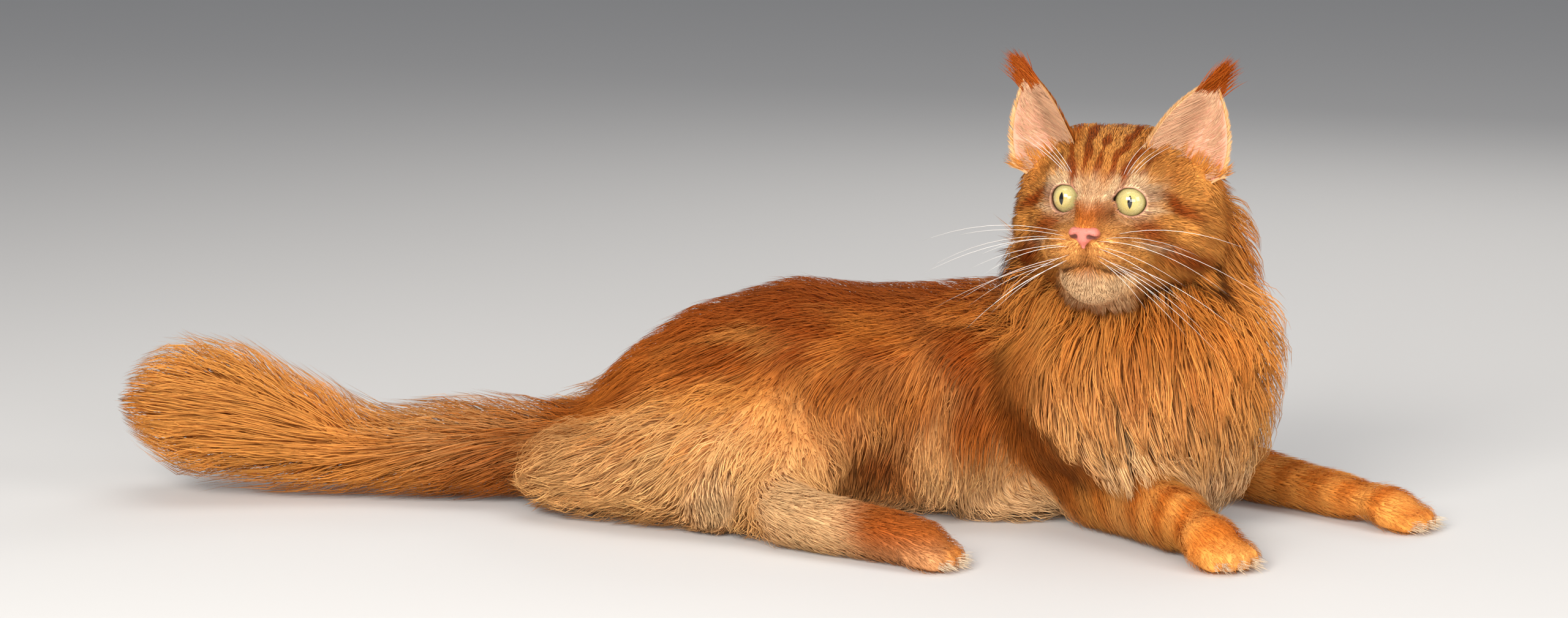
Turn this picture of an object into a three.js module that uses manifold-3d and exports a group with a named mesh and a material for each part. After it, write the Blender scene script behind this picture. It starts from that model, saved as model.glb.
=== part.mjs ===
// Long-haired cat lying at rest, life size, as a still model.
// Millimetres, +Z up, the floor at Z = 0. The body lies along X with the tail towards -X,
// the right side of the body towards -Y, and the face turned over the right foreleg.
// Each solid follows the outline of the coat, out to the tips of the hair.
import * as THREE from "three";
import { mergeVertices } from "three/addons/utils/BufferGeometryUtils.js";
import Module from "manifold-3d";

const wasm = await Module();
wasm.setup();

// ---------------------------------------------------------------- driving sizes (mm)
const GAP = 0.4; // clearance between neighbouring pieces
const SLICE = 0.4; // width of the cuts that part one long shape into lengths
const BACK_HEIGHT = 159; // floor to the hair of the loin
const TRUNK_HALF_WIDTH = 80;
const FOREPAW_HALF_WIDTH = 25;
const HINDPAW_HALF_WIDTH = 23;
const TAIL_HALF_WIDTH = 47;
const TAIL_BRUSH_HALF_HEIGHT = 58;

const HEAD_CENTRE = [217.5, 30, 228]; // middle of the braincase
const HEAD_YAW = 22; // degrees the face is turned from square-on
const HEAD_PITCH = 2; // degrees the face is raised
const SKULL = [55, 53, 49]; // half width, half length, half height
const CHEEK = [35, 34, 35];
const EYE_RADIUS = 11.2;
const EYE_AT = [20.8, 31, 3]; // side, forward, up from the head's centre
const PAD = [15.5, 15, 13.5];
const NOSE_HALF_WIDTH = 10.5;
const EAR_HALF_WIDTH = 28.5;
const EAR_THICKNESS = 2.6;
const EAR_BASE = [44, -10, 27];
const EAR_TIP = [64, -6, 77];
const TUFT_TIP = [83, -8, 92];

const RED = { color: 0x9c4a1c, roughness: 0.85 };
const ORANGE = { color: 0xc0703a, roughness: 0.85 };
const GOLD = { color: 0xd89556, roughness: 0.85 };
const CREAM = { color: 0xe6c193, roughness: 0.88 };
const FACE = { color: 0xcf8a4c, roughness: 0.8 };
const PALE = { color: 0xe9cba6, roughness: 0.8 };
const EAR_SKIN = { color: 0xe0a08c, roughness: 0.65 };
const LEATHER = { color: 0xd98078, roughness: 0.45 };
const IRIS = { color: 0xb9b56a, roughness: 0.08 };

// ---------------------------------------------------------------- solids
const UP = new THREE.Vector3(0, 0, 1);

// A closed three.js geometry as a solid that faces outwards.
function solid(geometry) {
  geometry.deleteAttribute("normal");
  geometry.deleteAttribute("uv");
  const merged = mergeVertices(geometry, 1e-3);
  const build = (flip) => {
    const triVerts = new Uint32Array(merged.index.array);
    if (flip)
      for (let i = 0; i < triVerts.length; i += 3)
        [triVerts[i + 1], triVerts[i + 2]] = [triVerts[i + 2], triVerts[i + 1]];
    return new wasm.Manifold(
      new wasm.Mesh({
        numProp: 3,
        vertProperties: merged.attributes.position.array,
        triVerts,
      }),
    );
  };
  const made = build(false);
  return made.volume() < 0 ? build(true) : made;
}

// A rounded body along a smooth line. Each station is [x, y, z, half width, half height];
// the section is an oval, `bend` curls its edges and `waves` ripples it as hair locks do.
function sweep(
  stations,
  {
    seg = 14,
    rings = 12,
    ref = UP,
    grow = 0,
    bend = 0,
    square = 2,
    waves = 0,
    ripple = 0,
    matrix = null,
  } = {},
) {
  const last = stations.length - 1;
  const path = new THREE.CatmullRomCurve3(
    stations.map((s) => new THREE.Vector3(s[0], s[1], s[2])),
    false,
    "centripetal",
  );
  const sizes = new THREE.CatmullRomCurve3(
    stations.map((s) => new THREE.Vector3(s[3], s[4], 0)),
    false,
    "catmullrom",
    0.5,
  );
  const span = (i, j) =>
    Math.hypot(...[0, 1, 2].map((k) => stations[i][k] - stations[j][k]));
  const capStart =
    Math.min(0.9, (stations[0][3] + stations[0][4]) / 2 / span(0, 1)) / last;
  const capEnd =
    Math.min(
      0.9,
      (stations[last][3] + stations[last][4]) / 2 / span(last, last - 1),
    ) / last;
  const round = (d, cap) => (d < cap ? Math.sqrt(1 - (1 - d / cap) ** 2) : 1);
  const geometry = new THREE.SphereGeometry(1, seg, rings);
  const position = geometry.attributes.position;
  for (let j = 0; j <= rings; j++) {
    const v = j / rings;
    const t = THREE.MathUtils.lerp(v, 0.5 - 0.5 * Math.cos(Math.PI * v), 0.55);
    const centre = path.getPoint(t);
    const along = path.getTangent(t).normalize();
    const side = along.clone().cross(ref).normalize();
    const over = side.clone().cross(along).normalize();
    const size = sizes.getPoint(t);
    const end = j === 0 || j === rings ? 0 : round(t, capStart) * round(1 - t, capEnd);
    const a = Math.max(0.3, size.x + grow) * end,
      b = Math.max(0.3, size.y + grow) * end;
    if (j === 0) centre.addScaledVector(along, -grow);
    if (j === rings) centre.addScaledVector(along, grow);
    for (let i = 0; i <= seg; i++) {
      const phi = (i / seg) * Math.PI * 2;
      const c = Math.cos(phi),
        s = Math.sin(phi);
      const k =
        1 + ripple * Math.sin(waves * phi + 9 * t) * Math.min(1, 4 * t * (1 - t) + 0.2);
      const cx = Math.sign(c) * Math.abs(c) ** (2 / square) * a * k;
      const cy = Math.sign(s) * Math.abs(s) ** (2 / square) * b * k + bend * a * c * c;
      const p = centre
        .clone()
        .addScaledVector(side, cx)
        .addScaledVector(over, cy);
      if (matrix) p.applyMatrix4(matrix);
      position.setXYZ(j * (seg + 1) + i, p.x, p.y, p.z);
    }
  }
  return solid(geometry);
}

// An egg-shaped lump: a sphere scaled to three half sizes.
function lump([x, y, z], [rx, ry, rz], { grow = 0, seg = 10, rings = 8, matrix = null } = {}) {
  const geometry = new THREE.SphereGeometry(1, seg, rings);
  geometry.rotateX(Math.PI / 2);
  geometry.scale(rx + grow, ry + grow, rz + grow);
  geometry.translate(x, y, z);
  if (matrix) geometry.applyMatrix4(matrix);
  return solid(geometry);
}

// The head's own axes: x to the cat's right, y forwards, z up.
const yaw = THREE.MathUtils.degToRad(HEAD_YAW),
  pitch = THREE.MathUtils.degToRad(HEAD_PITCH);
const forward = new THREE.Vector3(
  -Math.sin(yaw) * Math.cos(pitch),
  -Math.cos(yaw) * Math.cos(pitch),
  Math.sin(pitch),
);
const right = forward.clone().cross(UP).normalize();
const HEAD = new THREE.Matrix4()
  .makeBasis(right, forward, right.clone().cross(forward))
  .setPosition(...HEAD_CENTRE);
const both = (f) => [f(1), f(-1)].flat();

// ---------------------------------------------------------------- shapes, each a function of `grow`
const legFore = (path) => (grow) =>
  sweep(path, { grow, seg: 12, rings: 7, square: 2.2 });

// Four toes set in an arc across the front of a paw.
function toes([x, y], heading, half, radius, grow) {
  const a = THREE.MathUtils.degToRad(heading);
  const f = [Math.cos(a), Math.sin(a)],
    s = [-f[1], f[0]];
  return [-1.5, -0.5, 0.5, 1.5].map((k) => {
    const out = k * half * 0.46,
      on = -Math.abs(k) * Math.abs(k) * radius * 0.22;
    return sweep(
      [
        [x + f[0] * (on - 12) + s[0] * out * 0.85, y + f[1] * (on - 12) + s[1] * out * 0.85, radius * 1.2, radius * 0.85, radius * 0.95],
        [x + f[0] * on + s[0] * out, y + f[1] * on + s[1] * out, radius * 0.8, radius * 0.98, radius],
        [x + f[0] * (on + 8) + s[0] * out, y + f[1] * (on + 8) + s[1] * out, radius * 0.6, radius * 0.75, radius * 0.72],
      ],
      { grow, seg: 6, rings: 4 },
    );
  });
}

const TRUNK = [
  [-150, 158, 44, 25, 25],
  [-112, 150, 50, 54, 42],
  [-66, 140, 66, TRUNK_HALF_WIDTH - 4, 64],
  [0, 131, BACK_HEIGHT / 2, TRUNK_HALF_WIDTH + 1, BACK_HEIGHT / 2 + 0.8],
  [62, 127, 77.5, TRUNK_HALF_WIDTH - 2, 78],
  [125, 124, 79, TRUNK_HALF_WIDTH - 3, 80],
  [190, 122, 80, TRUNK_HALF_WIDTH - 4, 81],
  [247, 104, 76, TRUNK_HALF_WIDTH - 8, 74],
  [288, 76, 70, 52, 52],
];
const TAIL = [
  [-128, 160, 46, 40, 36],
  [-170, 160, 37, TAIL_HALF_WIDTH - 1, 36.5],
  [-216, 160, 37, TAIL_HALF_WIDTH, 38],
  [-262, 164, 32.5, TAIL_HALF_WIDTH - 4, 34],
  [-300, 167, 31, TAIL_HALF_WIDTH - 6, 32.5],
  [-338, 168, 43, TAIL_HALF_WIDTH - 3, 44.5],
  [-378, 168, 57, TAIL_HALF_WIDTH + 2, TAIL_BRUSH_HALF_HEIGHT - 1],
  [-412, 168, 62, TAIL_HALF_WIDTH + 1, TAIL_BRUSH_HALF_HEIGHT - 3],
  [-442, 168, 60, TAIL_HALF_WIDTH - 10, 38],
  [-463, 168, 54, 15, 16],
];

const ear = (side, grow) =>
  sweep(
    [
      [side * EAR_BASE[0], EAR_BASE[1], EAR_BASE[2], EAR_HALF_WIDTH, EAR_THICKNESS + 1.4],
      [side * 51, -7, 42, EAR_HALF_WIDTH - 4.5, EAR_THICKNESS + 0.6],
      [side * 58, -6, 60, EAR_HALF_WIDTH - 13, EAR_THICKNESS],
      [side * EAR_TIP[0], EAR_TIP[1], EAR_TIP[2], 3, 2],
    ],
    {
      grow,
      seg: 12,
      rings: 8,
      bend: 0.42,
      ref: new THREE.Vector3(side * 0.42, 0.9, 0.05),
      matrix: HEAD,
    },
  );

const H = { matrix: HEAD };
const PIECES = [
  ["eye_right", IRIS, (g) => [lump(EYE_AT, [EYE_RADIUS, EYE_RADIUS, EYE_RADIUS], { grow: g, seg: 10, rings: 7, ...H })]],
  ["eye_left", IRIS, (g) => [lump([-EYE_AT[0], EYE_AT[1], EYE_AT[2]], [EYE_RADIUS, EYE_RADIUS, EYE_RADIUS], { grow: g, seg: 10, rings: 7, ...H })]],
  ["nose", LEATHER, (g) => [
    sweep([[0, 60, -11, 7, 4], [0, 67.5, -13.5, NOSE_HALF_WIDTH, 5.5], [0, 69.5, -18, NOSE_HALF_WIDTH - 2, 5.5], [0, 67, -24, 3.2, 3]], { grow: g, seg: 10, rings: 8, ref: new THREE.Vector3(0, 1, 0.1), ...H }),
  ]],
  ...both((s) => [[s > 0 ? "ear_tuft_right" : "ear_tuft_left", RED, (g) => [
    sweep([[s * 65, -6, 76.5, 3.6, 3], [s * 73, -7, 85, 2.9, 2.2], [s * TUFT_TIP[0], TUFT_TIP[1], TUFT_TIP[2], 0.8, 0.8]], { grow: g, seg: 7, rings: 5, ref: new THREE.Vector3(0, 1, 0), ...H }),
  ]]]),
  ...both((s) => [[s > 0 ? "ear_right" : "ear_left", EAR_SKIN, (g) => [ear(s, g)]]]),
  ["muzzle", PALE, (g) => [
    ...both((s) => [lump([s * 12.5, 55, -26], PAD, { grow: g, seg: 9, rings: 6, ...H })]),
    lump([0, 47, -23], [20, 17, 16], { grow: g, seg: 8, rings: 6, ...H }),
  ]],
  ["chin", PALE, (g) => [
    sweep([[0, 36, -43, 18, 15], [0, 47, -50, 19, 15], [0, 50, -57, 13, 9]], { grow: g, seg: 8, rings: 6, ...H }),
  ]],
  ["head", FACE, (g) => [
    lump([0, -6, 1], SKULL, { grow: g, seg: 13, rings: 8, ...H }),
    lump([0, 19, 12], [35, 27, 26], { grow: g, seg: 8, rings: 6, ...H }),
    sweep([[0, 24, 12, 15, 14], [0, 48, 1, 10.5, 11], [0, 64, -10, 7.5, 6.5]], { grow: g, seg: 8, rings: 5, ...H }),
    ...both((s) => [lump([s * 37, 2, -18], CHEEK, { grow: g, seg: 8, rings: 6, ...H })]),
    ...both((s) => [sweep([[s * 44, -4, -14, 30, 28], [s * 58, -9, -28, 20, 21], [s * 72, -16, -40, 6, 7]], { grow: g, seg: 8, rings: 5, ...H })]),
    lump([0, 20, -34], [32, 28, 26], { grow: g, seg: 8, rings: 6, ...H }),
  ]],
  ["ruff", GOLD, (g) => [
    sweep(
      [
        [226, 34, 172, 66, 42],
        [233, 38, 146, 97, 54],
        [247, 44, 106, 99, 58],
        [267, 52, 70, 73, 47],
        [281, 64, 38, 42, 30],
        [291, 72, 14, 12, 12],
      ],
      { grow: g, seg: 16, rings: 11, waves: 6, ripple: 0.035, ref: new THREE.Vector3(0, -1, 0) },
    ),
  ]],
  ["neck", GOLD, (g) => [
    sweep(
      [
        [228, 66, 252, 46, 34],
        [229, 64, 226, 76, 48],
        [230, 64, 190, 88, 58],
        [233, 72, 150, 92, 64],
        [234, 92, 112, 84, 66],
      ],
      { grow: g, seg: 12, rings: 6, waves: 5, ripple: 0.02, ref: new THREE.Vector3(0, -1, 0) },
    ),
  ]],
  ["forepaw_right", ORANGE, (g) => [
    sweep([[264, -28, 20, 21, 18], [276, -50, 17.5, FOREPAW_HALF_WIDTH - 2, 16.5], [286, -64, 14, FOREPAW_HALF_WIDTH - 5, 13.5]], { grow: g, seg: 8, rings: 5 }),
    ...toes([288, -68], -60, FOREPAW_HALF_WIDTH - 1, 9.6, g),
  ]],
  ["forepaw_left", ORANGE, (g) => [
    sweep([[393, 78, 16, 19, 15], [412, 60, 14.5, FOREPAW_HALF_WIDTH - 3, 14], [424, 51, 12, FOREPAW_HALF_WIDTH - 6, 12]], { grow: g, seg: 8, rings: 5 }),
    ...toes([426, 50], -38, FOREPAW_HALF_WIDTH - 2, 8.8, g),
  ]],
  ["foreleg_right", ORANGE, (g) => [
    legFore([[192, 88, 32, 31, 32.5], [212, 62, 29, 29, 29.5], [238, 24, 26, 25, 26.5], [260, -16, 22, 22, 22.5], [270, -36, 20, 20, 20]])(g),
  ]],
  ["foreleg_left", ORANGE, (g) => [
    legFore([[282, 178, 32, 28, 32.5], [318, 154, 20, 22, 20.5], [354, 122, 16.5, 19.5, 17], [384, 88, 15, 18, 15.5], [400, 72, 15, 18, 15.3]])(g),
  ]],
  ["hind_foot_right", CREAM, (g) => [
    sweep([[-40, 44, 24, 23, 24.5], [18, -8, 20, 21, 20.5], [54, -31, 18, 20, 18.5], [88, -51, 15.5, HINDPAW_HALF_WIDTH - 1, 16], [104, -60, 13, HINDPAW_HALF_WIDTH - 4, 13]], { grow: g, seg: 8, rings: 8 }),
    ...toes([104, -61], -30, HINDPAW_HALF_WIDTH, 8.8, g),
  ]],
  ["hind_foot_left", CREAM, (g) => [
    sweep([[-30, 214, 20, 22, 20.5], [30, 214, 18, 19, 18.5], [72, 210, 16, 19, 16.5], [104, 206, 14, HINDPAW_HALF_WIDTH - 3, 14], [118, 204, 12, HINDPAW_HALF_WIDTH - 6, 12]], { grow: g, seg: 8, rings: 6 }),
    ...toes([117, 204], -8, HINDPAW_HALF_WIDTH - 2, 8.4, g),
  ]],
  ["breeches_right", CREAM, (g) => [
    sweep(
      [
        [-186, 112, 24, 20, 24.5],
        [-140, 92, 36, 34, 37],
        [-88, 72, 43, 42, 44],
        [-34, 52, 44, 41, 45],
        [14, 44, 46, 34, 34],
        [44, 46, 44, 20, 22],
      ],
      { grow: g, seg: 14, rings: 9, waves: 4, ripple: 0.04 },
    ),
  ]],
  ["thigh_right", CREAM, (g) => [
    sweep(
      [
        [-120, 112, 60, 36, 32],
        [-62, 92, 70, 50, 42],
        [-6, 74, 66, 48, 42],
        [36, 66, 52, 34, 34],
      ],
      { grow: g, seg: 10, rings: 8, waves: 4, ripple: 0.03 },
    ),
  ]],
  ["thigh_left", CREAM, (g) => [
    sweep(
      [
        [-180, 204, 30, 24, 30.5],
        [-128, 204, 40, 34, 40.5],
        [-62, 202, 52, 42, 52.5],
        [0, 204, 50, 40, 50.5],
        [44, 204, 44, 28, 34],
      ],
      { grow: g, seg: 10, rings: 8, waves: 4, ripple: 0.03 },
    ),
  ]],
  ["belly_fringe_right", CREAM, (g) => [
    sweep(
      [
        [104, 76, 108, 20, 22],
        [104, 64, 78, 31, 26],
        [107, 62, 44, 36, 28],
        [116, 66, 14, 34, 22],
      ],
      { grow: g, seg: 10, rings: 7, waves: 4, ripple: 0.04, ref: new THREE.Vector3(0, -1, 0) },
    ),
    sweep([[110, 84, 14, 18, 15], [150, 84, 12, 17, 12.6], [186, 82, 9, 12, 9.5]], { grow: g, seg: 10, rings: 6 }),
  ]],
  ["shoulder_right", RED, (g) => [
    sweep(
      [
        [172, 90, 126, 32, 26],
        [176, 76, 94, 40, 36],
        [180, 72, 60, 40, 36],
        [188, 78, 34, 32, 30],
      ],
      { grow: g, seg: 9, rings: 6, ref: new THREE.Vector3(0, -1, 0) },
    ),
  ]],
  ["shoulder_left", RED, (g) => [
    sweep(
      [
        [232, 160, 116, 34, 28],
        [248, 166, 90, 41, 36],
        [266, 172, 58, 38, 34],
        [280, 178, 34, 28, 28],
      ],
      { grow: g, seg: 9, rings: 6, ref: new THREE.Vector3(0, -1, 0) },
    ),
  ]],
];

// Shapes that are parted into lengths along X: [name, material, low x, high x].
const TRUNK_LENGTHS = [
  ["rump", RED, -999, -52],
  ["abdomen", ORANGE, -52, 96],
  ["thorax", ORANGE, 96, 999],
];
const TAIL_LENGTHS = [
  ["tail_tip", GOLD, -999, -402],
  ["tail_brush", GOLD, -402, -318],
  ["tail_middle", GOLD, -318, -232],
  ["tail_root", RED, -232, 999],
];

// ---------------------------------------------------------------- joining and parting
const floorBlock = () => {
  const g = new THREE.BoxGeometry(2400, 2400, 200);
  g.translate(0, 0, -100);
  return solid(g);
};
const FLOOR = floorBlock();
const slab = (low, high) => {
  const a = Math.max(low, -800) + SLICE / 2,
    b = Math.min(high, 800) - SLICE / 2;
  const g = new THREE.BoxGeometry(b - a, 1600, 1600);
  g.translate((a + b) / 2, 100, 100);
  return solid(g);
};
const join = (list) => list.reduce((a, b) => a.add(b));
const largest = (s) =>
  s.decompose().reduce((a, b) => (a.volume() > b.volume() ? a : b));

const made = [];
const taken = []; // grown copies of the pieces made so far
function place(name, material, body) {
  made.push([name, material, largest(body.subtract(FLOOR))]);
}
for (const [name, material, shapes] of PIECES) {
  let body = join(shapes(0));
  for (const other of taken) body = body.subtract(other);
  place(name, material, body);
  taken.push(join(shapes(GAP)));
}
function placeLengths(stations, lengths, options) {
  let body = sweep(stations, options);
  for (const other of taken) body = body.subtract(other);
  for (const [name, material, low, high] of lengths)
    place(name, material, body.intersect(slab(low, high)));
  taken.push(sweep(stations, { ...options, grow: GAP }));
}
placeLengths(TRUNK, TRUNK_LENGTHS, { seg: 16, rings: 12, square: 2.1 });
placeLengths(TAIL, TAIL_LENGTHS, { seg: 12, rings: 17, waves: 4, ripple: 0.03 });

// ---------------------------------------------------------------- the group, centred over the floor
const box = new THREE.Box3();
for (const [, , body] of made) {
  const b = body.boundingBox();
  box.union(new THREE.Box3(new THREE.Vector3(...b.min), new THREE.Vector3(...b.max)));
}
const shift = new THREE.Vector3(
  -(box.min.x + box.max.x) / 2,
  -(box.min.y + box.max.y) / 2,
  -box.min.z,
);

const cat = new THREE.Group();
cat.name = "cat";
for (const [name, material, body] of made) {
  const m = body.getMesh();
  const vertices = new Float32Array(m.numVert * 3);
  for (let i = 0; i < m.numVert; i++) {
    vertices[3 * i] = m.vertProperties[m.numProp * i] + shift.x;
    vertices[3 * i + 1] = m.vertProperties[m.numProp * i + 1] + shift.y;
    vertices[3 * i + 2] = m.vertProperties[m.numProp * i + 2] + shift.z;
  }
  const geometry = new THREE.BufferGeometry()
    .setAttribute("position", new THREE.BufferAttribute(vertices, 3))
    .setIndex(new THREE.BufferAttribute(new Uint32Array(m.triVerts), 1));
  geometry.computeVertexNormals();
  const mesh = new THREE.Mesh(
    geometry,
    new THREE.MeshStandardMaterial({ metalness: 0, ...material }),
  );
  mesh.name = name;
  cat.add(mesh);
}

export default cat;
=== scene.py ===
"""A long-haired red tabby cat lying at rest, life size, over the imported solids.

The skin is one mesh inside the solids by the depth of the coat; the coat is thousands of
closed, tapered locks that are rooted on the skin and follow the lie of the hair.
Lengths inside this script are millimetres in the layout of the pose ("W"); SHIFT and MM
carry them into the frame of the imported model.
"""
import bpy, math
import numpy as np
import openvdb as vdb
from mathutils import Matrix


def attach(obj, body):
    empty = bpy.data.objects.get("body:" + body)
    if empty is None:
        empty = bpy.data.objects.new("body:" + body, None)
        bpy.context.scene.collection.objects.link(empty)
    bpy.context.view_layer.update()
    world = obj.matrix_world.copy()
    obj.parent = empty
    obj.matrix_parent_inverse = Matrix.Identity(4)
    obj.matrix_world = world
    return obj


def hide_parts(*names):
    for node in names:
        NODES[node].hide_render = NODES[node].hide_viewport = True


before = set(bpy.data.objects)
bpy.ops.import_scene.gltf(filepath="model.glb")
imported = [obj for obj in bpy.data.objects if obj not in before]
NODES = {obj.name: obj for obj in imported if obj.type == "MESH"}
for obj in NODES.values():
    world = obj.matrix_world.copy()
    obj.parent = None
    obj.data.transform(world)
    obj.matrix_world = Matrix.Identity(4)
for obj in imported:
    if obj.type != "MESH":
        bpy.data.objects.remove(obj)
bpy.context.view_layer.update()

MM = 0.001
SHIFT = np.array([11.19593, -81.92320, 0.0])
rng = np.random.default_rng(20417)

HEAD_C = np.array([217.5, 30.0, 228.0])
YAW, PITCH = math.radians(22), math.radians(2)
H_F = np.array([-math.sin(YAW) * math.cos(PITCH), -math.cos(YAW) * math.cos(PITCH), math.sin(PITCH)])
H_R = np.cross(H_F, [0, 0, 1.0]); H_R /= np.linalg.norm(H_R)
H_U = np.cross(H_R, H_F)
HB = np.stack([H_R, H_F, H_U])  # rows: the head's axes in W


def to_head(p):
    return (p - HEAD_C) @ HB.T


def from_head(p):
    return p @ HB + HEAD_C


def row(p):
    return (np.asarray(p, float) + SHIFT) * MM


def unit(v, axis=-1):
    return v / (np.linalg.norm(v, axis=axis, keepdims=True) + 1e-9)


def smooth01(x, a, b):
    t = np.clip((x - a) / (b - a), 0, 1)
    return t * t * (3 - 2 * t)


def bell(d, width):
    return np.exp(-(d / width) ** 2)


# ------------------------------------------------------------------ noise and cells
def _hash(ix, iy, iz, seed):
    n = (ix * 73856093) ^ (iy * 19349663) ^ (iz * 83492791) ^ (seed * 40503 + 977)
    n = (n ^ (n >> 13)) * 1274126177 & 0xFFFFFFFF
    n = (n ^ (n >> 15)) * 2246822519 & 0xFFFFFFFF
    return ((n ^ (n >> 16)) & 0xFFFF) / 65535.0


def noise(p, scale, seed=1):
    """Smooth value noise in 0..1."""
    q = p / scale
    i = np.floor(q).astype(np.int64)
    f = q - i
    f = f * f * (3 - 2 * f)
    out = 0
    for dx in (0, 1):
        for dy in (0, 1):
            for dz in (0, 1):
                w = (f[:, 0] if dx else 1 - f[:, 0]) * (f[:, 1] if dy else 1 - f[:, 1]) * (f[:, 2] if dz else 1 - f[:, 2])
                out = out + w * _hash(i[:, 0] + dx, i[:, 1] + dy, i[:, 2] + dz, seed)
    return out


def cells(p, size, seed):
    """The jittered cell each point falls in: an id per point."""
    q = p / size
    i = np.floor(q).astype(np.int64)
    best = np.full(len(p), 1e9)
    ident = np.zeros(len(p), np.int64)
    for dx in (-1, 0, 1):
        for dy in (-1, 0, 1):
            for dz in (-1, 0, 1):
                c = i + (dx, dy, dz)
                j = np.stack([_hash(c[:, 0], c[:, 1], c[:, 2], seed + k) for k in (0, 7, 13)], 1)
                d = ((c + j - q) ** 2).sum(1)
                m = d < best
                best[m] = d[m]
                ident[m] = ((c[m, 0] * 92821 + c[m, 1]) * 68917 + c[m, 2])
    return np.unique(ident, return_inverse=True)[1].reshape(-1)


# ------------------------------------------------------------------ distance fields on grids
class Field:
    """Values on a regular grid, read between the points, with their slope."""

    def __init__(self, low, step, values):
        self.low, self.step, self.v = np.asarray(low, float), step, values.astype(np.float32)

    def _read(self, arrays, p):
        q = (p - self.low) / self.step
        q = np.clip(q, 0, np.array(self.v.shape) - 1.001)
        i = q.astype(np.int64)
        f = (q - i).astype(np.float32)
        sx, sy = self.v.shape[1] * self.v.shape[2], self.v.shape[2]
        base = i[:, 0] * sx + i[:, 1] * sy + i[:, 2]
        outs = [0.0] * len(arrays)
        for dx in (0, 1):
            for dy in (0, 1):
                for dz in (0, 1):
                    w = (f[:, 0] if dx else 1 - f[:, 0]) * (f[:, 1] if dy else 1 - f[:, 1]) * (f[:, 2] if dz else 1 - f[:, 2])
                    k = base + dx * sx + dy * sy + dz
                    for n, a in enumerate(arrays):
                        outs[n] = outs[n] + w * a.ravel()[k]
        return outs

    def at(self, p):
        return self._read([self.v], p)[0]

    def slope(self, p):
        e = self.step * 0.8
        g = np.stack([self.at(p + d) - self.at(p - d) for d in np.eye(3) * e], 1)
        return unit(g)


def blur(a, times):
    for _ in range(times):
        for ax in range(3):
            b = a.copy()
            s = [slice(None)] * 3
            lo, hi, mid = list(s), list(s), list(s)
            lo[ax], hi[ax], mid[ax] = slice(None, -2), slice(2, None), slice(1, -1)
            b[tuple(mid)] = 0.25 * a[tuple(lo)] + 0.5 * a[tuple(mid)] + 0.25 * a[tuple(hi)]
            a = b
    return a


def to_mesh(field, iso=0.0):
    """(points, quads) of the surface where the field is iso."""
    g = vdb.FloatGrid()
    g.background = 50.0
    g.copyFromArray(np.ascontiguousarray(field.v))
    pts, quads = g.convertToQuads(iso)
    return pts.astype(float) * field.step + field.low, quads.astype(np.int64)


def level_set(points, faces, low, step, shape, reach):
    k = {"triangles": faces.astype(np.uint32)} if faces.shape[1] == 3 else {"quads": faces.astype(np.uint32)}
    g = vdb.FloatGrid.createLevelSetFromPolygons(
        ((points - low) / step).astype(np.float32), transform=vdb.createLinearTransform(voxelSize=1.0), halfWidth=reach / step, **k)
    a = np.zeros(shape, np.float32)
    g.copyToArray(a)
    return Field(low, step, a * step)


def smin(a, b, k):
    h = np.clip(0.5 + 0.5 * (b - a) / k, 0, 1)
    return b * (1 - h) + a * h - k * h * (1 - h)


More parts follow.
